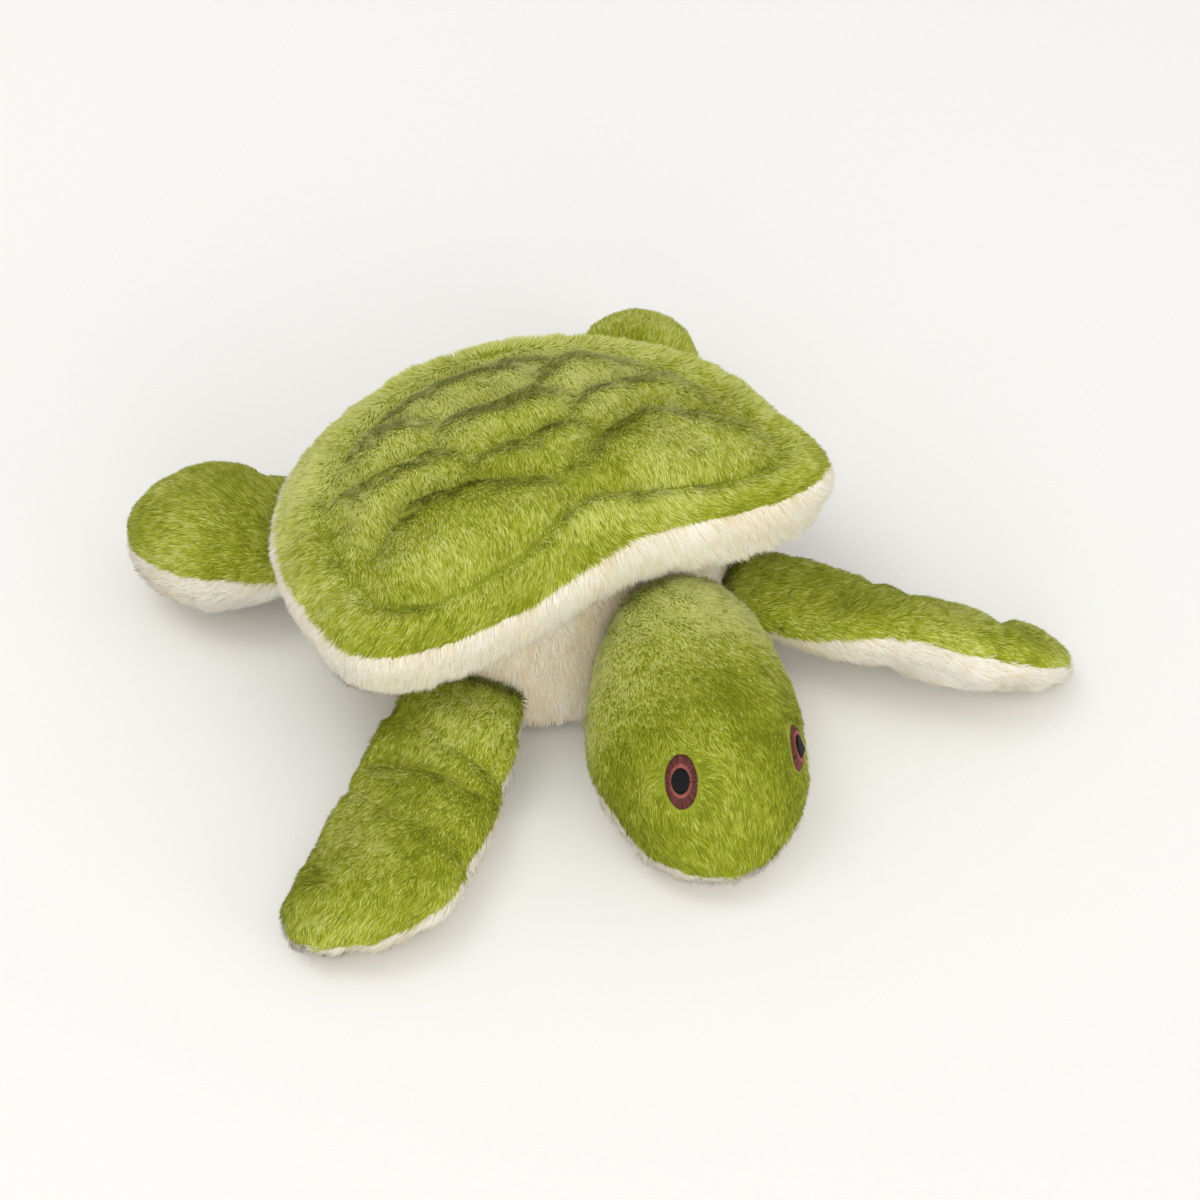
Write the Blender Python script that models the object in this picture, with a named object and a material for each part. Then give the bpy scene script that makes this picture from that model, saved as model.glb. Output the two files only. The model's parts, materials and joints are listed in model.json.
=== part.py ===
"""Plush sea turtle: a quilted shell cushion on a flat belly, a drooping head on a neck ball, and four
flippers. Each stuffed form is a sewn cover of two halves, or of one bowl, round its own filling.

Metres. +X is the turtle's left, -Y is forward, +Z is up and the floor is z = 0.
"""
import math

import bmesh
import bpy
import numpy as np
from mathutils import Matrix, Vector

# Fabric and sewing
COVER = 0.0035  # backing cloth with its pile pressed down
SEAM_GAP = 0.0003
FLOOR_CUT = 0.0005  # how deep a form that rests on the floor is cut flat
CUT_OVERRUN = 0.02
WELD = 1e-6  # points this close are one
POLE = 1e-6  # shares this close to an end are the pole
SURFACE_STEP = 1e-3  # share or angle between neighbouring points of a surface, to read its slope
LEAST_SECTION_SHARE = 0.25  # an inner wall's thinnest section, in thicknesses of the cover
UNDER_HALF, UPPER_HALF, BOTH_HALVES = range(3)  # marks on a cover's faces
SHARP = math.radians(50)  # edges sharper than this are shaded as corners

# Shell cushion
SHELL_HALF_WIDTH = 0.119
SHELL_FRONT = 0.059  # from the shell's widest line to its front edge
SHELL_REAR = 0.103
SHELL_MIDDLE_X = -0.006  # the shell lies a little to the turtle's right of its belly
SHELL_MIDDLE_Y = 0.045  # where the shell is widest
SHELL_FRONT_POWER, SHELL_REAR_POWER = 4.6, 2.0
SHELL_SEAM_Z = 0.0705
SHELL_ARCH = 0.0165  # how far the front edge lifts over the neck
SHELL_NOTCH = 0.005  # how far the front edge draws back there
SHELL_ARCH_TURN = math.radians(18)  # the arch's middle lies this far to the turtle's left of straight ahead
SHELL_ARCH_SPREAD = math.radians(46)
SHELL_CORNER = 0.009  # how far the left front corner is drawn out
SHELL_CORNER_ANGLE, SHELL_CORNER_SPREAD = math.radians(-25), math.radians(15)
UNDER_ARCH_SHARE = 0.62  # the underside rises less than the front edge does
SHELL_UNDER_Z = 0.046
SHELL_UNDER_TUCK = 0.009  # how far the underside draws in before it lies flat
SHELL_DOME = 0.0315
SHELL_DOME_POWER = 2.4
RIM_BAND = 0.025  # width of the stitched band round the edge
QUILT_PUFF = 0.007
QUILT_CHANNEL = 0.0085  # distance from a stitch line at which the quilting has mostly risen

# Stitch lines between the scutes, one side, as shares of the half width and of the length from the
# widest line to the front (negative) or rear edge
SCUTE_LINE_SHARES = (
    ((0.0, -0.60), (0.0, -0.19)),
    ((0.0, -0.19), (0.30, 0.03)),
    ((0.30, 0.03), (0.49, 0.095), (0.71, -0.09)),
    ((0.30, 0.03), (0.20, 0.165), (0.0, 0.147)),
    ((0.20, 0.165), (0.30, 0.30)),
    ((0.30, 0.30), (0.51, 0.335), (0.74, 0.36)),
    ((0.30, 0.30), (0.20, 0.45), (0.0, 0.43)),
    ((0.20, 0.45), (0.27, 0.58), (0.46, 0.66)),
)

# Body
BODY_HALF_WIDTH = 0.077
BODY_FRONT = 0.067
BODY_REAR = 0.086
BODY_MIDDLE_Y = 0.052
BODY_POWER = 2.7
BODY_MIDDLE_Z = 0.024
BODY_CROWN = 0.038
BODY_ROUNDING = 0.5  # 1 is an ellipsoid, less is squarer
CHEST_SLANT = 0.57  # how far the chest leans forward, per height

# Neck
NECK_RADIUS = 0.021
NECK_X = 0.017
NECK_Y = -0.016
NECK_Z = 0.029
NECK_OPENING = math.radians(40)  # half angle of the cover's open ends

# Head, in a frame at the neck's middle
HEAD_LENGTH = 0.122
HEAD_YAW = math.radians(3)  # the rest pose looks a little to the turtle's right
HEAD_SKEW = 0.19  # and its sections shift that way too, per length
HEAD_ROLL = math.radians(-3)  # above zero its left side is up
HEAD_LIFT = -0.0003  # so that the lower side of the rolled chin rests on the floor
HEAD_BACK = 0.003
HEAD_HALF_WIDTH = 0.045
HEAD_TOP = 0.061
HEAD_SLANT = 0.57
HEAD_SEAM_SHARE = 0.28  # height of the chin seam, as a share of the head's height
HEAD_POWER = 2.2
HEAD_STATION_SHARES = (0.0, 0.11, 0.36, 0.6, 0.8, 1.0)
HEAD_WIDTH_SHARES = (0.70, 0.88, 1.02, 0.98, 0.85, 0.64)
HEAD_TOP_SHARES = (0.90, 0.96, 1.0, 0.98, 0.84, 0.50)
HEAD_CHIN_SHARES = (0.05, 0.02, 0.0, 0.0, 0.0, 0.08)
SNOUT_ROUND_SHARE = 0.74  # where the rounding of the snout begins

# Eyes
EYE_HALF_WIDTH, EYE_HALF_HEIGHT, EYE_PROUD = 0.0066, 0.0112, 0.0016
PUPIL_HALF_WIDTH, PUPIL_HALF_HEIGHT, PUPIL_PROUD = 0.0036, 0.0050, 0.0024
EYE_BULGE = 0.0035
EYE_STATION_SHARE = 0.66
LEFT_EYE_ANGLE, RIGHT_EYE_ANGLE = math.radians(34), math.radians(126)  # round the head from its left side

# Flippers
ROOT_RADIUS = 0.008
ROOT_BITE = 0.002  # how deep the root sits in the body's side
ROOT_Z = 0.026
ROOT_FLAT = math.radians(40)
ROOT_ANGLES = (ROOT_FLAT, math.radians(65), math.radians(90))
ROOT_WIDTH_SHARES = (0.93, 0.98, 1.0)
FLIPPER_POWER = 2.3
FLIPPER_STATION_SHARES = (0.13, 0.28, 0.43, 0.58, 0.72, 0.84, 0.93, 0.98)
TWIST_START_SHARE, TWIST_END_SHARE = 0.06, 0.62
SETTLE_SHARE = 0.36  # where the flipper has come down to the floor
SLANT_START_SHARE = 0.4
FRONT_RIGHT_FLIPPER = dict(
    length=0.139, root=0.026, half_width=0.035, half_thick=0.0165, slant=0.012, sweep=0.003,
    round_share=0.80,
    width_shares=(0.89, 0.95, 1.0, 1.02, 1.03, 1.02, 1.0, 0.96),
    thick_shares=(0.66, 0.86, 0.98, 1.0, 1.0, 0.98, 0.94, 0.90),
)
FRONT_LEFT_FLIPPER = dict(
    length=0.141, root=0.022, half_width=0.035, half_thick=0.0165, slant=0.012, sweep=0.007,
    round_share=0.80,
    width_shares=(0.72, 0.83, 0.93, 1.0, 1.03, 1.04, 1.03, 0.98),
    thick_shares=(0.60, 0.76, 0.92, 1.0, 1.0, 1.0, 0.96, 0.92),
)
REAR_WIDTH_SHARES = (0.76, 0.86, 0.95, 1.0, 1.0, 1.0, 1.0, 1.0)
REAR_THICK_SHARES = (0.48, 0.66, 0.86, 1.0, 1.0, 1.0, 1.0, 1.0)
REAR_RIGHT_FLIPPER = dict(
    length=0.092, root=0.028, half_width=0.041, half_thick=0.0285, slant=0.003, sweep=0.0,
    round_share=0.50, width_shares=REAR_WIDTH_SHARES, thick_shares=REAR_THICK_SHARES,
)
REAR_LEFT_FLIPPER = dict(
    length=0.081, root=0.024, half_width=0.031, half_thick=0.022, slant=0.003, sweep=0.0,
    round_share=0.50, width_shares=REAR_WIDTH_SHARES, thick_shares=REAR_THICK_SHARES,
)
# Name, side (+1 is the turtle's left), form, angle round the belly from straight out to the side,
# heading of the limb from straight out (both towards the rear), roll that lifts the leading edge
FLIPPERS = (
    ("front_right", -1, FRONT_RIGHT_FLIPPER, math.radians(-37), math.radians(-42), math.radians(9)),
    ("front_left", 1, FRONT_LEFT_FLIPPER, math.radians(-38), math.radians(-51), math.radians(40)),
    ("rear_right", -1, REAR_RIGHT_FLIPPER, math.radians(41), math.radians(28), math.radians(14)),
    ("rear_left", 1, REAR_LEFT_FLIPPER, math.radians(41), math.radians(47), math.radians(2)),
)

# How finely each form is faceted: round and along its outer wall, then its inner wall and filling
SHELL_AROUND, SHELL_RINGS, UNDER_RINGS = 48, 13, 4
SHELL_INNER_AROUND, SHELL_INNER_RINGS = 24, 4
BODY_AROUND, BODY_RINGS, BODY_INNER_AROUND, BODY_INNER_RINGS = 28, 10, 16, 8
HEAD_AROUND, HEAD_RINGS, HEAD_INNER_AROUND, HEAD_INNER_RINGS = 20, 14, 12, 8
NECK_AROUND, NECK_RINGS = 20, 10
FLIPPER_AROUND, FLIPPER_INNER_AROUND, FLIPPER_INNER_RINGS = 16, 8, 6
EYE_AROUND, EYE_RINGS = 16, 6
BARREL_AROUND = 24


def smooth_step(t):
    t = np.clip(t, 0, 1)
    return t * t * (3 - 2 * t)


def curve_through(stations, values, at):
    """A smooth curve through the values: cubic between stations, slopes from the neighbours."""
    stations, values = np.asarray(stations, float), np.asarray(values, float)
    slopes = np.gradient(values, stations)
    k = np.clip(np.searchsorted(stations, at) - 1, 0, len(stations) - 2)
    step = stations[k + 1] - stations[k]
    t = np.clip((at - stations[k]) / step, 0, 1)
    return (
        values[k] * (1 + 2 * t) * (1 - t) ** 2
        + slopes[k] * step * t * (1 - t) ** 2
        + values[k + 1] * t * t * (3 - 2 * t)
        + slopes[k + 1] * step * t * t * (t - 1)
    )


def outline_radius(angle, half_width, front, rear, front_power, rear_power):
    """Distance from the middle to an outline that is squarer in front and rounder behind."""
    side, along = np.cos(angle), np.sin(angle)
    depth = np.where(along < 0, front, rear)
    power = np.where(along < 0, front_power, rear_power)
    return (np.abs(side / half_width) ** power + np.abs(along / depth) ** power) ** (-1 / power)


def bump(angle, middle, spread):
    """1 at the middle angle, fading to 0 on both sides of it."""
    off = (angle - middle + math.pi) % (2 * math.pi) - math.pi
    return np.exp(-((off / spread) ** 2))


def front_arch(angle):
    """1 at the middle of the arch in the shell's front edge, fading to 0 towards its corners."""
    return bump(angle, SHELL_ARCH_TURN - math.pi / 2, SHELL_ARCH_SPREAD)


def shell_radius(angle):
    corner = SHELL_CORNER * bump(angle, SHELL_CORNER_ANGLE, SHELL_CORNER_SPREAD)
    return outline_radius(
        angle, SHELL_HALF_WIDTH, SHELL_FRONT, SHELL_REAR, SHELL_FRONT_POWER, SHELL_REAR_POWER
    ) + corner - SHELL_NOTCH * front_arch(angle)


def distance_to_line(x, y, start, end):
    (ax, ay), (bx, by) = start, end
    along = ((x - ax) * (bx - ax) + (y - ay) * (by - ay)) / ((bx - ax) ** 2 + (by - ay) ** 2)
    along = np.clip(along, 0, 1)
    return np.hypot(x - ax - along * (bx - ax), y - ay - along * (by - ay))


def scute_point(share):
    across, along = share
    return across * SHELL_HALF_WIDTH, along * (SHELL_FRONT if along < 0 else SHELL_REAR)


def quilting(x, y, edge):
    """How far the quilting has risen, 0 on a stitch line or the edge seam and 1 away from them."""
    nearest = np.minimum(edge, np.abs(edge - RIM_BAND))
    for line in SCUTE_LINE_SHARES:
        points = [scute_point(share) for share in line]
        for start, end in zip(points[:-1], points[1:]):
            off = distance_to_line(np.abs(x), y, start, end)
            nearest = np.where(edge > RIM_BAND, np.minimum(nearest, off), nearest)
    return 1 - np.exp(-((nearest / QUILT_CHANNEL) ** 2))


def on_shell(radius, angle, z):
    return SHELL_MIDDLE_X + radius * np.cos(angle), SHELL_MIDDLE_Y + radius * np.sin(angle), z


def shell_dome(share, angle, inset):
    """The top from its crown (share 0) to the edge seam (share 0.5), before it is quilted."""
    out = 2 * share
    radius = out * (shell_radius(angle) - inset)
    seam = SHELL_SEAM_Z + SHELL_ARCH * front_arch(angle) * out**2
    rise = SHELL_DOME * (1 - out**SHELL_DOME_POWER) - inset * (1 - out**4)
    return on_shell(radius, angle, seam + rise)


def shell_top(share, angle, inset):
    x, y, z = shell_dome(share, angle, inset)
    edge = (1 - 2 * share) * shell_radius(angle)
    return x, y, z + QUILT_PUFF * quilting(x - SHELL_MIDDLE_X, y - SHELL_MIDDLE_Y, edge)


def shell_under(share, angle, inset):
    """From the edge seam (share 0.5) down and in to a flat bottom (share 1)."""
    part = 2 * share - 1
    turn = np.clip(2 * part, 0, 1) * math.pi / 2
    arch = SHELL_ARCH * front_arch(angle)
    flat = SHELL_UNDER_Z + inset + UNDER_ARCH_SHARE * arch * smooth_step(3 - 4 * part)
    radius = shell_radius(angle) - inset - SHELL_UNDER_TUCK * (1 - np.cos(turn))
    radius = radius * np.clip(2 - 2 * part, 0, 1)
    z = SHELL_SEAM_Z + arch - (SHELL_SEAM_Z + arch - flat) * np.sin(turn)
    return on_shell(radius, angle, z)


def shell_inside(share, angle, inset):
    halves = shell_dome(share, angle, inset), shell_under(share, angle, inset)
    return [np.where(share < 0.5, top, under) for top, under in zip(*halves)]


def body_form(share, angle, inset):
    """A flattened puck whose chest leans forward; its top is cut off under the shell."""
    turn = math.pi * share
    up = np.sign(np.cos(turn)) * np.abs(np.cos(turn)) ** BODY_ROUNDING
    out = np.sin(turn) ** BODY_ROUNDING
    radius = outline_radius(
        angle, BODY_HALF_WIDTH, BODY_FRONT, BODY_REAR, BODY_POWER, BODY_POWER
    ) - inset
    crown = BODY_CROWN - inset
    belly = BODY_MIDDLE_Z + FLOOR_CUT - inset
    z = BODY_MIDDLE_Z + np.where(up > 0, crown, belly) * up
    forward = np.clip(-np.sin(angle) * out, 0, 1)
    y = out * radius * np.sin(angle) + CHEST_SLANT * (z - NECK_Z) * smooth_step(forward)
    return out * radius * np.cos(angle), y + BODY_MIDDLE_Y, z


def round_end(along, start):
    """1 up to start, then a quarter ellipse down to 0 at the end."""
    return np.sqrt(1 - np.clip((along - start) / (1 - start), 0, 1) ** 2)


def head_form(share, angle, inset):
    """Sections from the neck (share 0) to the snout (share 1), in the head's own frame: +X forward,
    +Y to the turtle's left. Each section is wider at the chin seam, and leans back at the neck."""
    start = (HEAD_BACK + inset) / HEAD_LENGTH
    along = start + (1 - start) * (1 - np.cos(math.pi * share)) / 2
    ending = round_end(along, SNOUT_ROUND_SHARE)
    width = HEAD_HALF_WIDTH * curve_through(HEAD_STATION_SHARES, HEAD_WIDTH_SHARES, along)
    top = HEAD_TOP * curve_through(HEAD_STATION_SHARES, HEAD_TOP_SHARES, along)
    chin = HEAD_TOP * curve_through(HEAD_STATION_SHARES, HEAD_CHIN_SHARES, along) - FLOOR_CUT
    seam = chin + HEAD_SEAM_SHARE * (top - chin)
    side = np.sign(np.cos(angle)) * np.abs(np.cos(angle)) ** (2 / HEAD_POWER)
    rise = np.sign(np.sin(angle)) * np.abs(np.sin(angle)) ** (2 / HEAD_POWER)
    height = np.where(rise > 0, top - seam, seam - chin) * ending
    pole = (share < POLE) | (share > 1 - POLE)
    width, height = [
        np.where(pole, 0, np.maximum(size - inset, 0)) for size in (width * ending, height)
    ]
    z = seam + height * rise
    out = np.minimum(along * HEAD_LENGTH, HEAD_LENGTH - inset)
    skew = HEAD_SKEW * out
    out = out - HEAD_SLANT * (z - NECK_Z) * (1 - smooth_step(along * 2))
    side, up = width * side - skew, z - NECK_Z + HEAD_LIFT
    return (
        out,
        side * math.cos(HEAD_ROLL) - up * math.sin(HEAD_ROLL),
        side * math.sin(HEAD_ROLL) + up * math.cos(HEAD_ROLL),
    )


def neck_form(share, angle, inset):
    """A ball whose open ends face forward and back."""
    radius = NECK_RADIUS - inset
    turn = math.pi * share
    ring = radius * np.sin(turn)
    return radius * np.cos(turn), ring * np.cos(angle), ring * np.sin(angle)


def flipper_form(form, lead, roll):
    """Sections of a paddle along +X from its root on the hinge line, in the limb's own frame."""
    length = form["length"]
    root_out = [-ROOT_RADIUS * math.cos(angle) for angle in ROOT_ANGLES]
    root_thick = [ROOT_RADIUS * math.sin(angle) for angle in ROOT_ANGLES]
    shares = np.array(FLIPPER_STATION_SHARES)
    ending = round_end(shares, form["round_share"])
    out_at = np.array([root_out[0], *root_out, *(length * shares), length])
    wide_at = np.array([
        0, *(form["root"] * np.array(ROOT_WIDTH_SHARES)),
        *(form["half_width"] * np.array(form["width_shares"]) * ending), 0,
    ])
    thick_at = np.array([
        0, *root_thick, *(form["half_thick"] * np.array(form["thick_shares"]) * ending), 0,
    ])
    fattest = math.hypot(form["half_width"] * math.sin(roll), form["half_thick"] * math.cos(roll))

    def place(share, angle, inset):
        station = share * (len(out_at) - 1)
        out, wide, thick = [
            np.interp(station, np.arange(len(out_at)), values) for values in (out_at, wide_at, thick_at)
        ]
        pole = (share < POLE) | (share > 1 - POLE)
        least = LEAST_SECTION_SHARE * inset
        wide, thick = [np.where(pole, 0, np.maximum(size - inset, least)) for size in (wide, thick)]
        out = np.clip(out, root_out[0] + inset, length - inset)
        slant = form["slant"] * smooth_step((out / length - SLANT_START_SHARE) / (1 - SLANT_START_SHARE))
        along = out / length
        side = wide * np.sign(np.cos(angle)) * np.abs(np.cos(angle)) ** (2 / FLIPPER_POWER)
        rise = thick * np.sign(np.sin(angle)) * np.abs(np.sin(angle)) ** (2 / FLIPPER_POWER)
        twist = roll * smooth_step((along - TWIST_START_SHARE) / (TWIST_END_SHARE - TWIST_START_SHARE))
        settle = smooth_step(along / SETTLE_SHARE)
        middle = settle * (fattest - FLOOR_CUT - ROOT_Z)
        side = side - form["sweep"] * slant / form["slant"]
        out = out - slant * side / form["half_width"]
        across, up = side * np.cos(twist) - rise * np.sin(twist), side * np.sin(twist) + rise * np.cos(twist)
        return out, lead * across, middle + up

    return place, len(out_at) - 1


def fabric(name, colour, roughness):
    made = bpy.data.materials.new(name)
    made.use_nodes = True
    shader = made.node_tree.nodes["Principled BSDF"]
    shader.inputs["Base Color"].default_value = (*colour, 1.0)
    shader.inputs["Roughness"].default_value = roughness
    shader.inputs["Metallic"].default_value = 0.0
    return made


def placed_sphere(bm, around, rings, form, inset, upper=None, keep=None, inward=False):
    """A UV sphere, its pole at share 0, with each point moved to its place on the form. Its faces are
    marked as the upper or under half, and those that keep refuses are left out."""
    half = bm.faces.layers.int.get("half") or bm.faces.layers.int.new("half")
    made = bmesh.ops.create_uvsphere(bm, u_segments=around, v_segments=rings, radius=1.0)["verts"]
    faces = list({face for point in made for face in point.link_faces})
    quads = [face for face in faces if len(face.verts) > 3]
    bmesh.ops.triangulate(bm, faces=quads, quad_method="FIXED")
    faces = list({face for point in made for face in point.link_faces})
    left_out = []
    for face in faces:
        middle = face.calc_center_median()
        where = math.acos(middle.normalized().z) / math.pi, math.atan2(middle.y, middle.x)
        if upper:
            face[half] = upper(*where)
        if keep and not keep(*where):
            left_out.append(face)
    points = np.array([point.co for point in made])
    share = np.arccos(np.clip(points[:, 2], -1, 1)) / math.pi
    share = np.round(share * rings) / rings
    angle = np.arctan2(points[:, 1], points[:, 0])
    spots = np.stack(np.broadcast_arrays(*form(share, angle, inset)), axis=1)
    for point, spot in zip(made, spots):
        point.co = spot
    if inward:
        bmesh.ops.reverse_faces(bm, faces=faces)
    bmesh.ops.delete(bm, geom=left_out, context="FACES")


def open_edges(bm):
    return [edge for edge in bm.edges if edge.is_boundary]


def cut_flat(bm, height):
    """Cuts away what lies below the floor's height, and closes the cut."""
    geometry = bm.verts[:] + bm.edges[:] + bm.faces[:]
    cut = bmesh.ops.bisect_plane(
        bm, geom=geometry, dist=WELD, plane_co=(0, 0, height), plane_no=(0, 0, -1), clear_outer=True,
    )
    rim = [item for item in cut["geom_cut"] if isinstance(item, bmesh.types.BMEdge)]
    bmesh.ops.contextual_create(bm, geom=[edge for edge in rim if edge.is_boundary])


def above_seam(share, angle):
    return angle > 0


def face_outward(bm):
    bm.normal_update()
    bmesh.ops.recalc_face_normals(bm, faces=bm.faces[:])


def piece(name, bm, material, parent, collection):
    """Makes the object from a finished bmesh, smooth but for its rims, under its parent empty."""
    mesh = bpy.data.meshes.new(name)
    bm.to_mesh(mesh)
    bm.free()
    made = bpy.data.objects.new(name, mesh)
    made.parent = parent
    collection.objects.link(made)
    if material:
        mesh.materials.append(material)
        mesh.shade_smooth()
        mesh.set_sharp_from_angle(angle=SHARP)
    else:
        made.hide_render = True
        made.display_type = "WIRE"
    return made


def sewn_halves(walls):
    """The upper and under halves of a cover, from its walls, with one strip along the seam between
    its outer and inner walls."""
    bm = bmesh.new()
    for wall in walls:
        placed_sphere(bm, **wall)
    bmesh.ops.remove_doubles(bm, verts=bm.verts[:], dist=WELD)
    half = bm.faces.layers.int["half"]
    seam = [edge for edge in bm.edges if len({face[half] for face in edge.link_faces}) > 1]
    strip = bmesh.ops.bridge_loops(bm, edges=seam)["faces"]
    for face in strip:
        face[half] = BOTH_HALVES
    bmesh.ops.triangulate(bm, faces=[face for face in strip if len(face.verts) > 3])
    halves = []
    for number, lift in ((UPPER_HALF, SEAM_GAP / 2), (UNDER_HALF, -SEAM_GAP / 2)):
        part = bm.copy()
        half = part.faces.layers.int["half"]
        other = [face for face in part.faces if face[half] not in (number, BOTH_HALVES)]
        bmesh.ops.delete(part, geom=other, context="FACES")
        bmesh.ops.translate(part, verts=part.verts[:], vec=(0, 0, lift))
        face_outward(part)
        halves.append(part)
    bm.free()
    return halves


def filling(around, rings, form):
    """The stuffing inside a cover, faceted as the cover's inner wall is."""
    bm = bmesh.new()
    placed_sphere(bm, around, rings, form, COVER + SEAM_GAP)
    face_outward(bm)
    return bm


def cut_by(obj, cutter):
    cut = obj.modifiers.new("cut by " + cutter.name, "BOOLEAN")
    cut.operation = "DIFFERENCE"
    cut.object = cutter


def empty(name, collection, place, parent=None):
    made = bpy.data.objects.new(name, None)
    made.matrix_local = place
    made.parent = parent
    collection.objects.link(made)
    return made


def build_shell(frame, parts, cutting, green, cream, wadding):
    """The cushion, and the cutter that shapes the body's top to it."""
    def upper(share, angle):
        return share < 0.5

    def under(share, angle):
        return share > 0.5

    inside = dict(around=SHELL_INNER_AROUND, rings=2 * SHELL_INNER_RINGS, form=shell_inside)
    top = dict(around=SHELL_AROUND, rings=2 * SHELL_RINGS, form=shell_top, inset=0)
    bottom = dict(around=SHELL_AROUND, rings=2 * UNDER_RINGS, form=shell_under, inset=0)
    covers = sewn_halves((
        dict(top, upper=upper, keep=upper), dict(bottom, upper=upper, keep=under),
        dict(inside, inset=COVER, upper=upper, inward=True),
    ))
    piece("shell_cover_top", covers[0], green, frame, parts)
    piece("shell_cover_under", covers[1], cream, frame, parts)
    piece("shell_filling", filling(**inside), wadding, frame, parts)
    bm = bmesh.new()
    placed_sphere(bm, SHELL_AROUND, 2 * UNDER_RINGS, shell_inside, -SEAM_GAP)
    face_outward(bm)
    return piece("shell_over_body", bm, None, frame, cutting)


def build_body(frame, parts, cream, wadding, cutters):
    bm = bmesh.new()
    placed_sphere(bm, BODY_AROUND, BODY_RINGS, body_form, 0)
    cut_flat(bm, 0)
    face_outward(bm)
    placed_sphere(bm, BODY_INNER_AROUND, BODY_INNER_RINGS, body_form, COVER, inward=True)
    cover = piece("body_cover", bm, cream, frame, parts)
    inside = filling(BODY_INNER_AROUND, BODY_INNER_RINGS, body_form)
    inside = piece("body_filling", inside, wadding, frame, parts)
    for cutter in cutters:
        cut_by(cover, cutter)
        cut_by(inside, cutter)


def neck_cutter(frame, cutting, name):
    bm = bmesh.new()
    facet = math.cos(math.pi / NECK_AROUND) ** 2
    clearance = (NECK_RADIUS + SEAM_GAP) / facet - NECK_RADIUS
    placed_sphere(bm, NECK_AROUND, NECK_RINGS, neck_form, -clearance)
    face_outward(bm)
    return piece(name, bm, None, frame, cutting)


def build_neck(frame, parts, cream, wadding):
    bm = bmesh.new()
    opening = NECK_OPENING / math.pi

    def keep(share, angle):
        return opening < share < 1 - opening

    for inset in (0, COVER):
        placed_sphere(bm, NECK_AROUND, NECK_RINGS, neck_form, inset, keep=keep)
    edges = open_edges(bm)
    for sign in (-1, 1):
        bmesh.ops.bridge_loops(bm, edges=[edge for edge in edges if edge.verts[0].co.x * sign > 0])
    face_outward(bm)
    piece("neck_cover", bm, cream, frame, parts)
    bm = filling(NECK_AROUND, NECK_RINGS, neck_form)
    piece("neck_filling", bm, wadding, frame, parts)


def build_head(frame, parts, cutting, green, cream, wadding):
    ball = neck_cutter(frame, cutting, "neck_in_head")
    inside = dict(around=HEAD_INNER_AROUND, rings=HEAD_INNER_RINGS, form=head_form)
    covers = sewn_halves((
        dict(around=HEAD_AROUND, rings=HEAD_RINGS, form=head_form, inset=0, upper=above_seam),
        dict(inside, inset=COVER, upper=above_seam, inward=True),
    ))
    for name, bm, material in zip(("head_cover_top", "head_cover_chin"), covers, (green, cream)):
        cut_flat(bm, -NECK_Z)
        cut_by(piece(name, bm, material, frame, parts), ball)
    cut_by(piece("head_filling", filling(**inside), wadding, frame, parts), ball)


def eye_patch(name, place, sizes, material, frame, collection):
    bm = bmesh.new()
    bmesh.ops.create_uvsphere(bm, u_segments=EYE_AROUND, v_segments=EYE_RINGS, radius=1.0)
    bmesh.ops.scale(bm, vec=sizes, verts=bm.verts[:])
    bm.transform(place)
    return piece(name, bm, material, frame, collection)


def build_eyes(frame, parts, cutting, thread, pupil_thread):
    """Embroidered ovals that stand on the head's surface: a lens cut by the head, and by the pupil."""
    bm = bmesh.new()
    placed_sphere(bm, HEAD_AROUND, HEAD_RINGS, head_form, -SEAM_GAP)
    face_outward(bm)
    skin = piece("head_skin", bm, None, frame, cutting)
    for name, angle in (("left", LEFT_EYE_ANGLE), ("right", RIGHT_EYE_ANGLE)):
        at, step = np.array(EYE_STATION_SHARE), SURFACE_STEP
        spot, ahead, beside = [
            Vector([float(part) for part in head_form(share, turn, 0)])
            for share, turn in ((at, angle), (at + step, angle), (at, angle + step))
        ]
        along = (ahead - spot).normalized()
        outward = along.cross(beside - spot).normalized()
        if outward.z < 0:
            outward.negate()
        across = along.cross(outward)
        turn = Matrix((across, along, outward)).transposed().to_4x4()
        sunk = Matrix.Translation(spot + outward * (EYE_PROUD - EYE_BULGE)) @ turn
        sizes = (EYE_HALF_WIDTH, EYE_HALF_HEIGHT, EYE_BULGE)
        iris = eye_patch(f"eye_{name}_iris", sunk, sizes, thread, frame, parts)
        sunk = Matrix.Translation(spot + outward * (PUPIL_PROUD - EYE_BULGE)) @ turn
        sizes = (PUPIL_HALF_WIDTH, PUPIL_HALF_HEIGHT, EYE_BULGE)
        pupil = eye_patch(f"eye_{name}_pupil", sunk, sizes, pupil_thread, frame, parts)
        sizes = (PUPIL_HALF_WIDTH + SEAM_GAP, PUPIL_HALF_HEIGHT + SEAM_GAP, 2 * EYE_BULGE)
        hole = eye_patch(f"hole_{name}_pupil", sunk, sizes, None, frame, cutting)
        cut_by(iris, skin)
        cut_by(pupil, skin)
        cut_by(iris, hole)


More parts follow.
